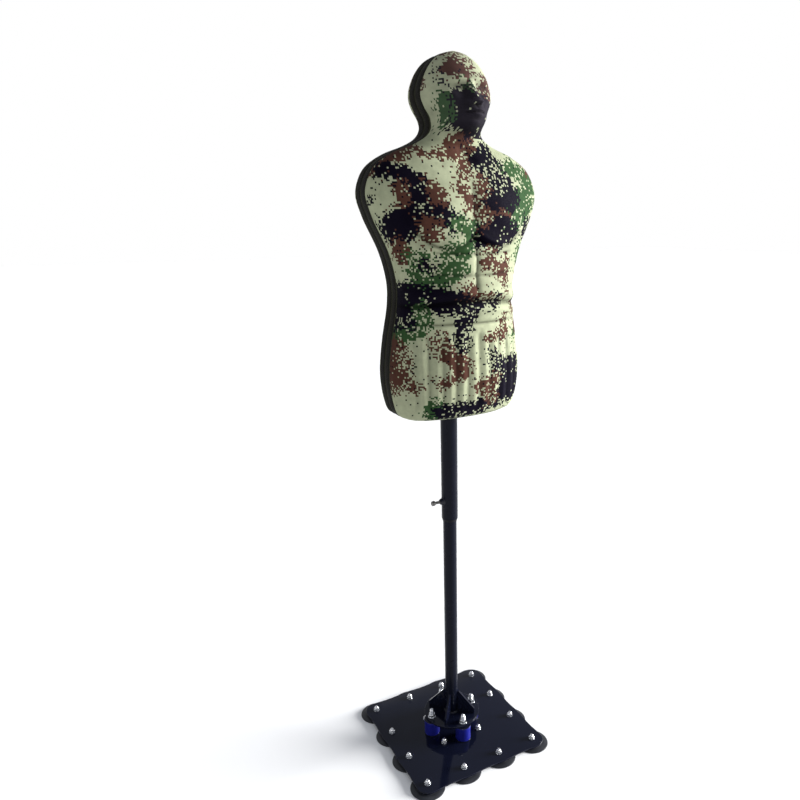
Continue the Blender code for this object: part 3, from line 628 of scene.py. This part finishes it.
def make_flange():
    ring = rounded([
        (LOWER_RADIUS, FLANGE_LOW), (FLANGE_RADIUS, FLANGE_LOW), (FLANGE_RADIUS, FLANGE_TOP),
        (LOWER_RADIUS, FLANGE_TOP),
    ], 0.0009)
    mesh = turned("flange_finish", ring, 128, closed=True)
    flange = piece("flange_finish", mesh, PAINT, "stand", 50)
    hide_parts("flange_plate")
    size, sunk, steps = 0.0042, 0.0005, 6
    weld = [(LOWER_RADIUS - sunk, FLANGE_TOP - sunk), (LOWER_RADIUS + size, FLANGE_TOP - sunk)]
    weld += [(LOWER_RADIUS + size * (1 - math.sin(math.pi / 2 * step / steps)) ** 1.2 * 0.9 + 0.0003,
              FLANGE_TOP + size * step / steps) for step in range(steps + 1)]
    weld.append((LOWER_RADIUS - sunk, FLANGE_TOP + size))
    mesh = turned("mast_weld", weld, 144, closed=True)
    beads = 44
    for vertex in mesh.vertices:
        if math.hypot(vertex.co.x, vertex.co.y) > LOWER_RADIUS + 0.0001:
            swell = 1 + 0.010 * math.sin(math.atan2(vertex.co.y, vertex.co.x) * beads)
            vertex.co.x *= swell
            vertex.co.y *= swell
    piece("mast_weld", mesh, PAINT, "stand", 60)


def make_damper_nuts():
    """A washer, a hexagon nut and the threaded end of the damper's stud."""
    foot = FLANGE_TOP + 0.0002
    nut_low, nut_high = foot + 0.0018, foot + 0.0118
    root, crest = 0.0052, 0.0060
    for place in DAMPERS:
        node = f"damper_nut_{place}"
        axis, top = centre(node), high(node).z
        profile = [
            (crest, FLANGE_LOW + 0.001), (crest, foot), (0.0115, foot), (0.0118, foot + 0.0003),
            (0.0118, foot + 0.0015), (0.0115, nut_low), (0.0086, nut_low),
            (STUD_NUT_FLATS, nut_low + 0.0008, "hex"), (STUD_NUT_FLATS, nut_high - 0.0009, "hex"),
            (0.0087, nut_high), (0.0066, nut_high), (crest, nut_high - 0.0006),
        ]
        height = nut_high
        while height < top - 0.0022:
            profile += [(root, height + STUD_PITCH * 0.15), (crest, height + STUD_PITCH * 0.5),
                        (crest, height + STUD_PITCH * 0.65)]
            height += STUD_PITCH
        profile += [(root, top - 0.0012), (0.0040, top)]
        mesh = placed(turned(node + "_finish", profile, 48), (axis.x, axis.y, 0))
        nut = piece(f"stud_nut_{place}", mesh, PLATING, "stand", 30)
        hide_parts(node)


# ---- mast ---------------------------------------------------------------------------------------
def tube(name, node, outer, wall, body):
    bottom, top, rounding = low(node).z, high(node).z, 0.0005
    profile = [(outer - wall, bottom), (outer - rounding, bottom), (outer, bottom + rounding),
               (outer, top - rounding), (outer - rounding, top), (outer - wall, top)]
    made = piece(name, turned(name, profile, 96, closed=True), MAST_PAINT, body, 35)
    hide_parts(node)


def make_mast():
    tube("lower_tube_finish", "lower_tube", LOWER_RADIUS, 0.0020, "stand")
    tube("upper_tube_finish", "upper_tube", UPPER_RADIUS, 0.0015, "opponent")
    bottom, top = low("guide_bush").z, high("guide_bush").z
    lip = low("upper_tube").z
    bush = [
        (LOWER_RADIUS + 0.0004, bottom + 0.0004), (LOWER_RADIUS + 0.0012, bottom),
        (UPPER_RADIUS - 0.0012, lip - 0.0022), (UPPER_RADIUS - 0.0003, lip - 0.0008),
        (UPPER_RADIUS - 0.0003, lip - 0.0002), (UPPER_RADIUS - 0.0020, lip - 0.0002),
        (UPPER_RADIUS - 0.0020, top), (LOWER_RADIUS + 0.0004, top),
    ]
    mesh = turned("bush_finish", bush, 96, closed=True)
    made = piece("bush_finish", mesh, PLASTIC, "slide_bush", 35)
    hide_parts("guide_bush")


def make_clamp():
    """A turned boss welded to the upper tube, and the threaded clamp screw with its hexagon head."""
    to_side = Matrix.Translation((0, 0, CLAMP_Z)) @ Matrix.Rotation(-math.pi / 2, 4, "Y")
    boss_start, boss_end = UPPER_RADIUS - 0.0040, -low("clamp_boss").x
    bore, boss_radius, nose_radius, shoulder = 0.0044, 0.0100, 0.0066, 0.0240
    boss_profile = rounded([
        (bore, boss_start), (boss_radius, boss_start), (boss_radius, shoulder), (nose_radius, boss_end),
        (bore, boss_end),
    ], 0.0006)
    mesh = turned("boss_finish", boss_profile, 64, closed=True, matrix=to_side)
    boss = piece("boss_finish", mesh, PAINT, "opponent", 40)
    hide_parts("clamp_boss")

    thick, steps, beads = 0.0014, 12, 30
    angles = [2 * math.pi * step / steps for step in range(steps)]
    weld = [(boss_radius + 0.0002 + thick * math.cos(angle), thick * math.sin(angle)) for angle in angles]
    seam = turned("boss_weld", weld, 96, closed=True)
    for vertex in seam.vertices:
        around = math.atan2(vertex.co.y, vertex.co.x)
        vertex.co.z += math.sqrt(max(UPPER_RADIUS ** 2 - vertex.co.y ** 2, 0.0)) + 0.0002
        vertex.co.z += 0.00018 * math.sin(around * beads)
    seam.transform(to_side)
    piece("boss_weld", seam, PAINT, "opponent", 60)

    end, along = -low("clamp_screw").x, -high("clamp_screw").x
    head = end - 0.0065
    profile = [(0.0030, along), (0.0036, along + 0.0008)]
    along += 0.0008
    while along < head - 0.0032:
        profile += [(0.0034, along + 0.0002), (0.0040, along + 0.00060), (0.0040, along + 0.00080)]
        along += SCREW_PITCH
    profile += [
        (0.0038, head - 0.0018), (0.0068, head - 0.0016), (0.0071, head - 0.0012),
        (0.0071, head - 0.0002), (SCREW_FLATS, head + 0.0002, "hex"), (SCREW_FLATS, end - 0.0012, "hex"),
        (0.0062, end - 0.0003), (0.0056, end), (0.0030, end - 0.0004), (0.0003, end - 0.0005),
    ]
    mesh = turned("screw_finish", profile, 48, matrix=to_side)
    screw = piece("screw_finish", mesh, DULL_PLATING, "clamp_screw", 30)
    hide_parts("clamp_screw")


# ---- torso --------------------------------------------------------------------------------------
def stations(node, back_y):
    """(half width, height, depth) of a CAD cushion at each of its stations, from its own corners."""
    rows = {}
    for vertex in NODES[node].data.vertices:
        rows.setdefault(round(vertex.co.z, 4), []).append(vertex.co)
    return [(max(abs(p.x) for p in row), height, max(abs(p.y - back_y) for p in row))
            for height, row in sorted(rows.items())]


def bell(value, middle, spread):
    return np.exp(-((value - middle) / spread) ** 2)


def ramp(value, low_edge, high_edge):
    share = np.clip((value - low_edge) / (high_edge - low_edge), 0.0, 1.0)
    return share * share * (3 - 2 * share)


def groove(distance, width):
    """A stitched valley: sharp at its bottom, with round shoulders."""
    return np.exp(-np.abs(distance) / width) * 0.55 + np.exp(-(distance / (1.6 * width)) ** 2) * 0.45


# Rounded swells and hollows in millimetres: height, distance from the middle line and spread, level and
# spread.
CHEST_MOUNDS = (
    (12, 80, 62, 1510, 46),         # chest muscles
    (6, 60, 70, 1560, 50),          # over them
    (-7, 0, 20, 1640, 16),          # pit of the throat
    (4, 180, 30, 1545, 45),         # shoulders
)
FACE_MOUNDS = (
    (-9.5, 27, 14.5, 1762.5, 9.5),  # eye sockets
    (6.6, 27, 9.5, 1760.5, 6.2),    # eyeballs
    (8.5, 12.5, 5.6, 1737, 6.2),    # sides of the nose
    (10, 0, 30, 1716, 19),          # around the mouth
    (4.6, 6, 15, 1721.2, 3.8),      # upper lip
    (5.6, 0, 15.5, 1711, 4.2),      # lower lip
    (-1.6, 0, 3, 1727, 4),          # furrow over the lip
    (-3, 0, 16, 1703, 3.6),         # hollow under the lip
    (12, 0, 24, 1695, 10.5),        # chin
    (7, 40, 20, 1702, 13),          # jaw
    (6, 44, 16, 1744, 14),          # cheeks
    (4, 0, 50, 1806, 20),           # forehead
    (4, 0, 40, 1664, 18),           # throat
)
BACK_MOUNDS = (
    (6, 85, 42, 1520, 52),          # shoulder blades
    (4, 45, 30, 1240, 90),          # loins
)


def mounds(side, z, rows):
    total = 0.0
    for row in rows:
        height, across, width, level, tall = (value / 1000 for value in row)
        total = total + height * bell(side, across, width) * bell(z, level, tall)
    return total


def chest_relief(x, z):
    """Chest muscles over a creased lower edge, breastbone, collarbones and the fill between them."""
    side = np.abs(x)
    edge = 1.469 - 0.026 * np.sin(np.pi * np.clip(side / 0.128, 0, 1))
    fold = z - edge - 0.25 * np.maximum(side - 0.115, 0)
    muscle = 0.0076 * np.exp(-np.clip(fold - 0.012, 0, 1) / 0.030) * ramp(fold, -0.004, 0.012)
    muscle = (muscle - 0.0060 * groove(fold, 0.0045)) * ramp(side, 0.165, 0.120)
    breastbone = -0.0034 * bell(x, 0, 0.010) * ramp(z, 1.440, 1.480) * ramp(z, 1.610, 1.560)
    collarbone = 0.0035 * bell(z, 1.622 + 0.10 * np.minimum(side, 0.10), 0.010)
    collarbone = collarbone * ramp(side, 0.012, 0.035) * ramp(side, 0.150, 0.110)
    fill = 0.007 * bell(side, 0, 0.085) * ramp(z, 1.66, 1.60) * ramp(z, 1.50, 1.60)
    return mounds(side, z, CHEST_MOUNDS) + muscle + breastbone + collarbone + fill


def belly_relief(x, z):
    """Two columns of pads crossed by seams, over a deep rolled fold at the waist."""
    side = np.abs(x)
    belly = 0.010 * bell(side, 0, 0.115) * ramp(z, 1.470, 1.420) * ramp(z, 1.030, 1.100)
    belly -= 0.0044 * groove(x, SEAM) * ramp(z, 1.462, 1.440) * ramp(z, 1.316, 1.334)
    for height in (1.430, 1.384):
        belly -= 0.0046 * groove(z - height - 0.05 * side, SEAM) * ramp(side, 0.118, 0.088)
    belly -= 0.0048 * groove(z - 1.276, SEAM) * ramp(side, 0.135, 0.105)
    wide = np.cos(np.pi * np.clip((side - 0.044) / 0.082, -0.5, 0.5))
    for height, half in ((1.450, 0.018), (1.407, 0.023), (1.356, 0.026), (1.296, 0.018)):
        tall = np.cos(np.pi * np.clip((z - height) / (2 * half), -0.5, 0.5))
        belly += 0.0040 * wide * tall ** 0.7
    for height in (1.440, 1.405, 1.370):
        rib = height + 0.45 * (side - 0.125)
        belly += 0.0026 * bell(z, rib, 0.011) * bell(side, 0.128, 0.020)
    roll = 1.318 + 0.012 * np.sin(np.pi * np.clip((x + 0.17) / 0.34, 0, 1))
    sag = z - (roll - 0.040 * np.maximum(x - 0.03, 0))
    rolls = 0.0100 * bell(sag, 0.016, 0.013) + 0.0060 * bell(sag, -0.020, 0.010)
    return belly + ramp(side, 0.172, 0.140) * (rolls - 0.0100 * groove(sag + 0.004, 0.0060))


def pleats(x, z):
    """Upright pleats under the waist, which stand back from the rest of the belly."""
    pitch = 0.031
    ridge = np.abs(np.cos(np.pi * (x - pitch / 2) / pitch))
    wander = 0.006 * np.sin(90.0 * x)
    depth = 0.0052 * (1 - np.clip(1 - ridge, 0, 1) ** 0.5) * ramp(np.abs(x), 0.152, 0.130)
    return depth * ramp(z, 1.262 + wander, 1.236 + wander) * ramp(z, 1.062, 1.092)


def face_relief(x, z):
    """The mannequin's plain face: brow, eyelids, nose, mouth and the folds beside it."""
    side = np.abs(x)
    brow = 0.008 * bell(z, 1.782 - 0.10 * np.maximum(side - 0.02, 0), 0.0085) * ramp(side, 0.062, 0.040)
    brow -= 0.0030 * bell(side, 0, 0.008) * bell(z, 1.779, 0.009)
    lid = -0.0016 * groove(z - (1.7615 - 5.0 * (side - 0.027) ** 2), 0.0016) * bell(side, 0.027, 0.011)
    root, tip = 1.778, 1.7385
    along = np.clip((root - z) / (root - tip), 0, 1)
    nose = (0.005 + 0.016 * along ** 1.15) * np.exp(-(side / (0.0072 + 0.0062 * along)) ** 2.2)
    nose = nose * ramp(z, 1.786, 1.774) * ramp(z, 1.7285, 1.7375)
    mouth = -0.0052 * groove(z - (1.7163 - 1.2 * side ** 2), 0.0017) * ramp(side, 0.027, 0.019)
    fold = -0.0018 * groove((side - 0.0185) * 0.85 - (1.7360 - z) * 0.50, 0.0022)
    fold = fold * ramp(z, 1.7060, 1.7160) * ramp(z, 1.7420, 1.7340)
    return mounds(side, z, FACE_MOUNDS) + brow + lid + nose + mouth + fold


def front_relief(x, z):
    """How far the front stands out of the plain cushion, in metres."""
    return chest_relief(x, z) + belly_relief(x, z) - pleats(x, z) + face_relief(x, z)


def back_relief(x, z):
    """Shoulder blades, spine and waist on the rear cushion."""
    side = np.abs(x)
    crease = 0.0022 * groove(z - (1.468 + 0.20 * side), 0.0060)
    crease = crease * ramp(side, 0.150, 0.120) * ramp(side, 0.02, 0.05)
    spine = 0.0055 * groove(x, 0.0060) * ramp(z, 1.100, 1.180) * ramp(z, 1.640, 1.580)
    waist = 0.0028 * groove(z - 1.318, 0.0060) * ramp(side, 0.150, 0.120)
    seam = 0.0020 * groove(z - 1.690, 0.0040) * ramp(side, 0.060, 0.045)
    return mounds(side, z, BACK_MOUNDS) - crease - spine - waist - seam


def ripples(x, z, depth):
    """Slack in the cover: short soft wrinkles in two directions, the same in each run."""
    one = np.sin(62 * x + 23 * z + 1.7 * np.sin(31 * z)) * np.sin(41 * z - 17 * x + 1.3 * np.sin(27 * x))
    two = np.sin(148 * z + 37 * x + 2.1 * np.sin(53 * x)) * np.sin(90 * x - 26 * z)
    return depth * (0.65 * one + 0.35 * two)


def flat(x, z):
    return 0 * x


def cushion_grid(outline, columns, back_y, forward, relief):
    """Rows of points over a cushion's crowned face, from its foot to its crown."""
    angle = np.linspace(0, math.pi, columns + 1)
    cosine, sine = np.cos(angle), np.clip(np.sin(angle), 0, 1)
    across = np.sign(cosine) * np.abs(cosine) ** (2 / SECTION_POWER)
    swell = sine ** (2 / SECTION_POWER)
    half, height, depth = outline[:, 0:1], outline[:, 1:2], outline[:, 2:3]
    x = half * across[None, :]
    z = np.repeat(height, columns + 1, 1)
    rim = ramp(swell[None, :] * np.minimum(depth / 0.06, 1.0), 0.10, 0.75)
    y = back_y + forward * (depth * swell[None, :] + relief(x, z) * rim)
    return np.stack([x, y, z], 2)


def print_places(outline, columns):
    """The unrolled cover's coordinates at a cushion's points: the distance from the middle line along
    the section, and the height, which runs on where the cover turns over the crown or the foot."""
    plain = cushion_grid(outline, columns, 0.0, 1.0, flat)
    steps = np.linalg.norm(np.diff(plain[:, :, :2], axis=1), axis=2)
    travelled = np.concatenate([np.zeros((len(outline), 1)), np.cumsum(steps, 1)], 1)
    across = travelled[:, columns // 2][:, None] - travelled
    height, depth = outline[:, 1], outline[:, 2]
    turning = np.maximum(np.abs(np.diff(depth)) - np.abs(np.diff(height)), 0.0)
    crown_room, foot_room = 0.055, 0.025
    over_crown = np.where(height[1:] > CROWN - crown_room, turning, 0.0)
    under_foot = np.where(height[1:] < TORSO_BASE + foot_room, turning, 0.0)
    along = height + np.concatenate([[0.0], np.cumsum(over_crown)])
    along -= np.concatenate([np.cumsum(under_foot[::-1])[::-1], [0.0]])
    return np.stack([across, 0 * across, np.repeat(along[:, None], columns + 1, 1)], 2)


def hollowness(height):
    """From 0 to 1, how far each point lies down in a fold, where the cover's colour is darkened as
    painted shade.
    """
    around = height.copy()
    smoothings, deepest = 14, 0.0032
    for _ in range(smoothings):
        around[1:-1] = (around[:-2] + 2 * around[1:-1] + around[2:]) / 4
        around[:, 1:-1] = (around[:, :-2] + 2 * around[:, 1:-1] + around[:, 2:]) / 4
    return np.clip((around - height) / deepest, 0.0, 1.0)


def grid_mesh(name, grid, back_y):
    """A closed cushion: the grid is its crowned face, and a flat back closes it."""
    rows, columns, _ = grid.shape
    backs = 5
    points = list(grid.reshape(-1, 3))
    faces = quads(rows, columns, wrap_columns=False)
    rims = np.arange(rows) * columns
    inner = len(points) + np.arange(rows * (backs - 1)).reshape(rows, backs - 1)
    back = np.column_stack([rims, inner, rims + columns - 1]).tolist()
    for row in range(rows):
        for step in range(1, backs):
            share = step / backs
            point = grid[row, 0] * (1 - share) + grid[row, -1] * share
            points.append((point[0], back_y, point[2]))
    faces += [(near[step], near[step + 1], far[step + 1], far[step])
              for near, far in zip(back, back[1:]) for step in range(backs)]
    for row in (0, rows - 1):
        ring = [row * columns + column for column in range(columns)] + back[row][-2:0:-1]
        faces += [(one, two, len(points)) for one, two in zip(ring, ring[1:] + ring[:1])]
        points.append(np.mean([points[index] for index in ring], axis=0))
    return mesh_of(name, points, faces)


def underside(outline):
    """More rows under a cushion's foot, which round it over and draw it in to its middle."""
    half, height, depth = outline[0]
    steps, drop = 5, 0.0030
    rows = []
    for step in range(steps, 0, -1):
        share = step / steps
        shrink = 1 - 0.93 * share ** 1.6
        rows.append((half * shrink, height - drop * math.sin(share * math.pi / 2), depth * shrink))
    return np.vstack([rows, outline])


CLOTH = {
    "quality": 5, "mass": 0.3, "tension_stiffness": 18, "compression_stiffness": 18,
    "shear_stiffness": 8, "bending_stiffness": 0.6, "use_pressure": True, "uniform_pressure_force": 4,
    "vertex_group_mass": "held",
}
CLOTH_FRAMES = 20
MOST_SWELL = 0.007


def swelling(name, grid, back_y, pinned):
    """How far each point of a coarse cushion moves when its cover is blown up like a stuffed one."""
    rows, columns, _ = grid.shape
    mesh = grid_mesh(name, grid, back_y)
    pad = bpy.data.objects.new(name, mesh)
    bpy.context.scene.collection.objects.link(pad)
    held = pad.vertex_groups.new(name="held")
    count = rows * columns
    for index in range(len(mesh.vertices)):
        held.add([index], float(pinned[index]) if index < count else 1.0, "REPLACE")
    cloth = pad.modifiers.new("cover", "CLOTH").settings
    for setting, value in CLOTH.items():
        setattr(cloth, setting, value)
    cloth.effector_weights.gravity = 0
    scene = bpy.context.scene
    for number in range(1, CLOTH_FRAMES + 1):
        scene.frame_set(number)
    result = pad.evaluated_get(bpy.context.evaluated_depsgraph_get()).to_mesh()
    after = np.zeros(len(result.vertices) * 3)
    result.vertices.foreach_get("co", after)
    moved = after.reshape(-1, 3)[:count].reshape(rows, columns, 3) - grid
    scene.frame_set(1)
    bpy.data.objects.remove(pad)
    length = np.linalg.norm(moved, axis=2, keepdims=True)
    kept = MOST_SWELL * np.tanh(length / MOST_SWELL) / np.maximum(length, 1e-9)
    return moved * np.where(length > 1e-9, kept, 0.0)


def finer(field, rows, columns):
    """A coarse grid of movements read at a finer grid's places."""
    old_rows, old_columns, _ = field.shape
    row_at, column_at = np.linspace(0, old_rows - 1, rows), np.linspace(0, old_columns - 1, columns)
    wide = np.stack([[np.interp(column_at, np.arange(old_columns), field[row, :, axis])
                      for row in range(old_rows)] for axis in range(3)], 2)
    return np.stack([[np.interp(row_at, np.arange(old_rows), wide[:, column, axis])
                      for column in range(columns)] for axis in range(3)], 2).transpose(1, 0, 2)


def swell_over(name, outline, back_y, forward, relief):
    """The swell at a fine cushion's points. The cover is held down in its seams and at its edges."""
    coarse = outline[::3] if (len(outline) - 1) % 3 == 0 else np.vstack([outline[::3], outline[-1:]])
    rough = cushion_grid(coarse, COARSE_COLUMNS, back_y, forward, relief)
    plain = cushion_grid(coarse, COARSE_COLUMNS, back_y, forward, flat)
    pinned = np.where(forward * (plain[:, :, 1] - rough[:, :, 1]) > 0.0005, 1.0, 0.0)
    pinned[:, :2] = pinned[:, -2:] = 1.0
    pinned[:6] = pinned[-3:] = 1.0
    return finer(swelling(name + "_rough", rough, back_y, pinned.reshape(-1)), len(outline), COLUMNS + 1)


def carry(mesh, name, kind, key, values):
    """A point attribute with these values on the crowned face, whose points come first."""
    padded = np.zeros((len(mesh.vertices), *values.shape[1:]))
    padded[:len(values)] = values
    mesh.attributes.new(name, kind, "POINT").data.foreach_set(key, padded.reshape(-1))


def make_cushion(name, node, back_y, forward, relief, slack, finish):
    """A padded cushion: its broad shape from the CAD, its swell from a cloth simulation, then its
    seams, folds and features."""
    fine = underside(smooth_curve(stations(node, back_y), ROW))
    grid = cushion_grid(fine, COLUMNS, back_y, forward, relief)
    grid = grid + swell_over(name, fine, back_y, forward, relief)
    x, z = grid[:, :, 0], grid[:, :, 2]
    still_columns = 14
    from_edge = np.minimum(np.arange(COLUMNS + 1), np.arange(COLUMNS, -1, -1))[None, :] / still_columns
    grid[:, :, 1] += forward * ripples(x, z, slack) * np.clip(from_edge, 0, 1)
    mesh = grid_mesh(name, grid, back_y)
    carry(mesh, "print", "FLOAT_VECTOR", "vector", print_places(fine, COLUMNS).reshape(-1, 3))
    # painted shade: how deep each point lies in a fold, which the cover's material darkens
    carry(mesh, "fold", "FLOAT", "value", hollowness(relief(x, z)).reshape(-1))
    cushion = piece(name, mesh, finish, "opponent", 50)
    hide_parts(node)


def edge_path(spacing):
    """The torso's outline in X and Z, from beside the mast over the crown and back to the mast, with
    its outward directions."""
    mast_room = UPPER_RADIUS + 0.002
    side = [(half, height) for half, height, _ in stations("front_cushion", BAND_FRONT)]
    right = smooth_curve(side, spacing)
    foot = np.array([(x, TORSO_BASE) for x in np.arange(mast_room, side[0][0] - 0.004, spacing)])
    right = np.vstack([foot, right])
    path = np.vstack([right, (right * (-1, 1))[::-1]])
    smoothings = 6
    for _ in range(smoothings):
        path[1:-1] = (path[:-2] + 2 * path[1:-1] + path[2:]) / 4
    along = np.gradient(path, axis=0)
    along /= np.linalg.norm(along, axis=1)[:, None]
    return path, np.stack([along[:, 1], -along[:, 0]], 1)


def swept(name, path, outward, profile, finish):
    """A strip with one cross-section, given as (outward, y) points, along the torso's edge."""
    points = [(place[0] + away[0] * shift, y, place[1] + away[1] * shift)
              for place, away in zip(path, outward) for shift, y in profile]
    faces = quads(len(path), len(profile)) + end_faces(len(path), len(profile))
    return piece(name, mesh_of(name, points, faces), finish, "opponent", 50)


def band_profile(front_y, rear_y):
    bulge, thickness, gap, steps = 0.0036, 0.0120, 0.0006, 12
    middle, half = (front_y + rear_y) / 2, (rear_y - front_y) / 2 - gap
    profile = []
    for step in range(steps + 1):
        angle = math.pi * step / steps
        profile.append((bulge * math.sin(angle) ** 0.55 - 0.0022, middle - half * math.cos(angle)))
    return profile + [(-thickness, middle + half), (-thickness, middle - half)]


def make_bands():
    path, outward = edge_path(0.005)
    for name, node, front_y, rear_y in (("band_front_cover", "front_band", BAND_FRONT, BAND_SPLIT),
                                        ("band_rear_cover", "rear_band", BAND_SPLIT, BAND_REAR)):
        strip = swept(name, path, outward, band_profile(front_y, rear_y), BAND_COVER)
        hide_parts(node)
    radius, steps = 0.0018, 10
    angles = [2 * math.pi * step / steps for step in range(steps)]
    for name, y in (("front", BAND_FRONT), ("middle", BAND_SPLIT), ("rear", BAND_REAR)):
        cord = [(radius * math.cos(angle) - 0.0010, y + radius * math.sin(angle)) for angle in angles]
        swept(f"piping_{name}", path, outward, cord, PIPING)


# ---- finishes of the CAD nodes that stay --------------------------------------------------------
def finish_cad():
    for node, finish in (("clamp_pad", BRASS), ("shoulder_bar", STEEL), ("hip_bar", STEEL),
                         ("tube_top_cap", PLASTIC), ("foam_core", FOAM),
                         *((f"gusset_{number}", PAINT) for number in range(1, 5))):
        shown = NODES[node]
        shown.data.materials.clear()
        shown.data.materials.append(finish)
        bevel = shown.modifiers.new("soft_edges", "BEVEL")
        bevel.width = 0.0007
        bevel.segments = 2
        bevel.limit_method = "ANGLE"
        bevel.harden_normals = True


# ---- stage --------------------------------------------------------------------------------------
def make_floor():
    reach = 30
    corners = [(-reach, -reach, 0), (reach, -reach, 0), (reach, reach, 0), (-reach, reach, 0)]
    pale = Nodes("pale_floor", (0.88, 0.88, 0.88), 0.85)
    cloud = pale.noise(3.0, 3.0)
    pale.colour(pale.mix(cloud, rgba(0.87, 0.87, 0.87), rgba(0.90, 0.90, 0.90)))
    floor = bpy.data.objects.new("floor", mesh_of("floor", corners, [(0, 1, 2, 3)]))
    floor.data.materials.append(pale.material)
    bpy.context.scene.collection.objects.link(floor)


def make_world():
    """White near the horizon, and greyer overhead."""
    world = bpy.data.worlds.new("studio")
    bpy.context.scene.world = world
    world.use_nodes = True
    tree = world.node_tree
    place = add_node(tree, "ShaderNodeTexCoord").outputs["Generated"]
    split = add_node(tree, "ShaderNodeSeparateXYZ", {0: place})
    start, end = (math.sin(math.radians(height)) for height in (17, 32))
    fade = add_node(tree, "ShaderNodeMapRange", {0: split.outputs["Z"], 1: start, 2: end})
    shade = add_node(tree, "ShaderNodeMix", {
        0: fade.outputs[0], 6: rgba(1.0, 1.0, 1.0), 7: rgba(0.33, 0.35, 0.39),
    }, data_type="RGBA")
    tree.links.new(shade.outputs[2], tree.nodes["Background"].inputs["Color"])


def make_sun():
    sun = bpy.data.lights.new("key_light", "SUN")
    sun.energy = 12.4
    sun.angle = math.radians(30)
    rise, turn = math.radians(12), math.radians(71)
    toward = Matrix.Rotation(turn, 3, "Z") @ Vector((0, -math.cos(rise), math.sin(rise)))
    holder = bpy.data.objects.new("key_light", sun)
    holder.rotation_euler = toward.to_track_quat("Z", "Y").to_euler()
    holder.location = toward * 4
    bpy.context.scene.collection.objects.link(holder)


def make_camera():
    lens = bpy.data.cameras.new("camera")
    lens.sensor_width = 36.0
    lens.lens = 30.53
    lens.shift_x = -0.0729
    lens.shift_y = 0.1014
    camera = bpy.data.objects.new("camera", lens)
    camera.location = (-0.8416, -1.5165, 1.4986)
    camera.rotation_euler = (math.radians(69.106), math.radians(0.277), math.radians(-29.941))
    bpy.context.scene.collection.objects.link(camera)
    bpy.context.scene.camera = camera


make_plate()
make_cups()
make_dampers()
make_flange()
make_damper_nuts()
make_mast()
make_clamp()
make_cushion("chest_cushion", "front_cushion", BAND_FRONT - CLEARANCE, -1.0, front_relief, 0.0004,
             CAMO_FRONT)
make_cushion("back_cushion", "rear_cushion", BAND_REAR + CLEARANCE, 1.0, back_relief, 0.0006, CAMO_REAR)
make_bands()
finish_cad()
make_floor()
make_world()
make_sun()
make_camera()
bpy.context.scene.view_settings.view_transform = "Standard"
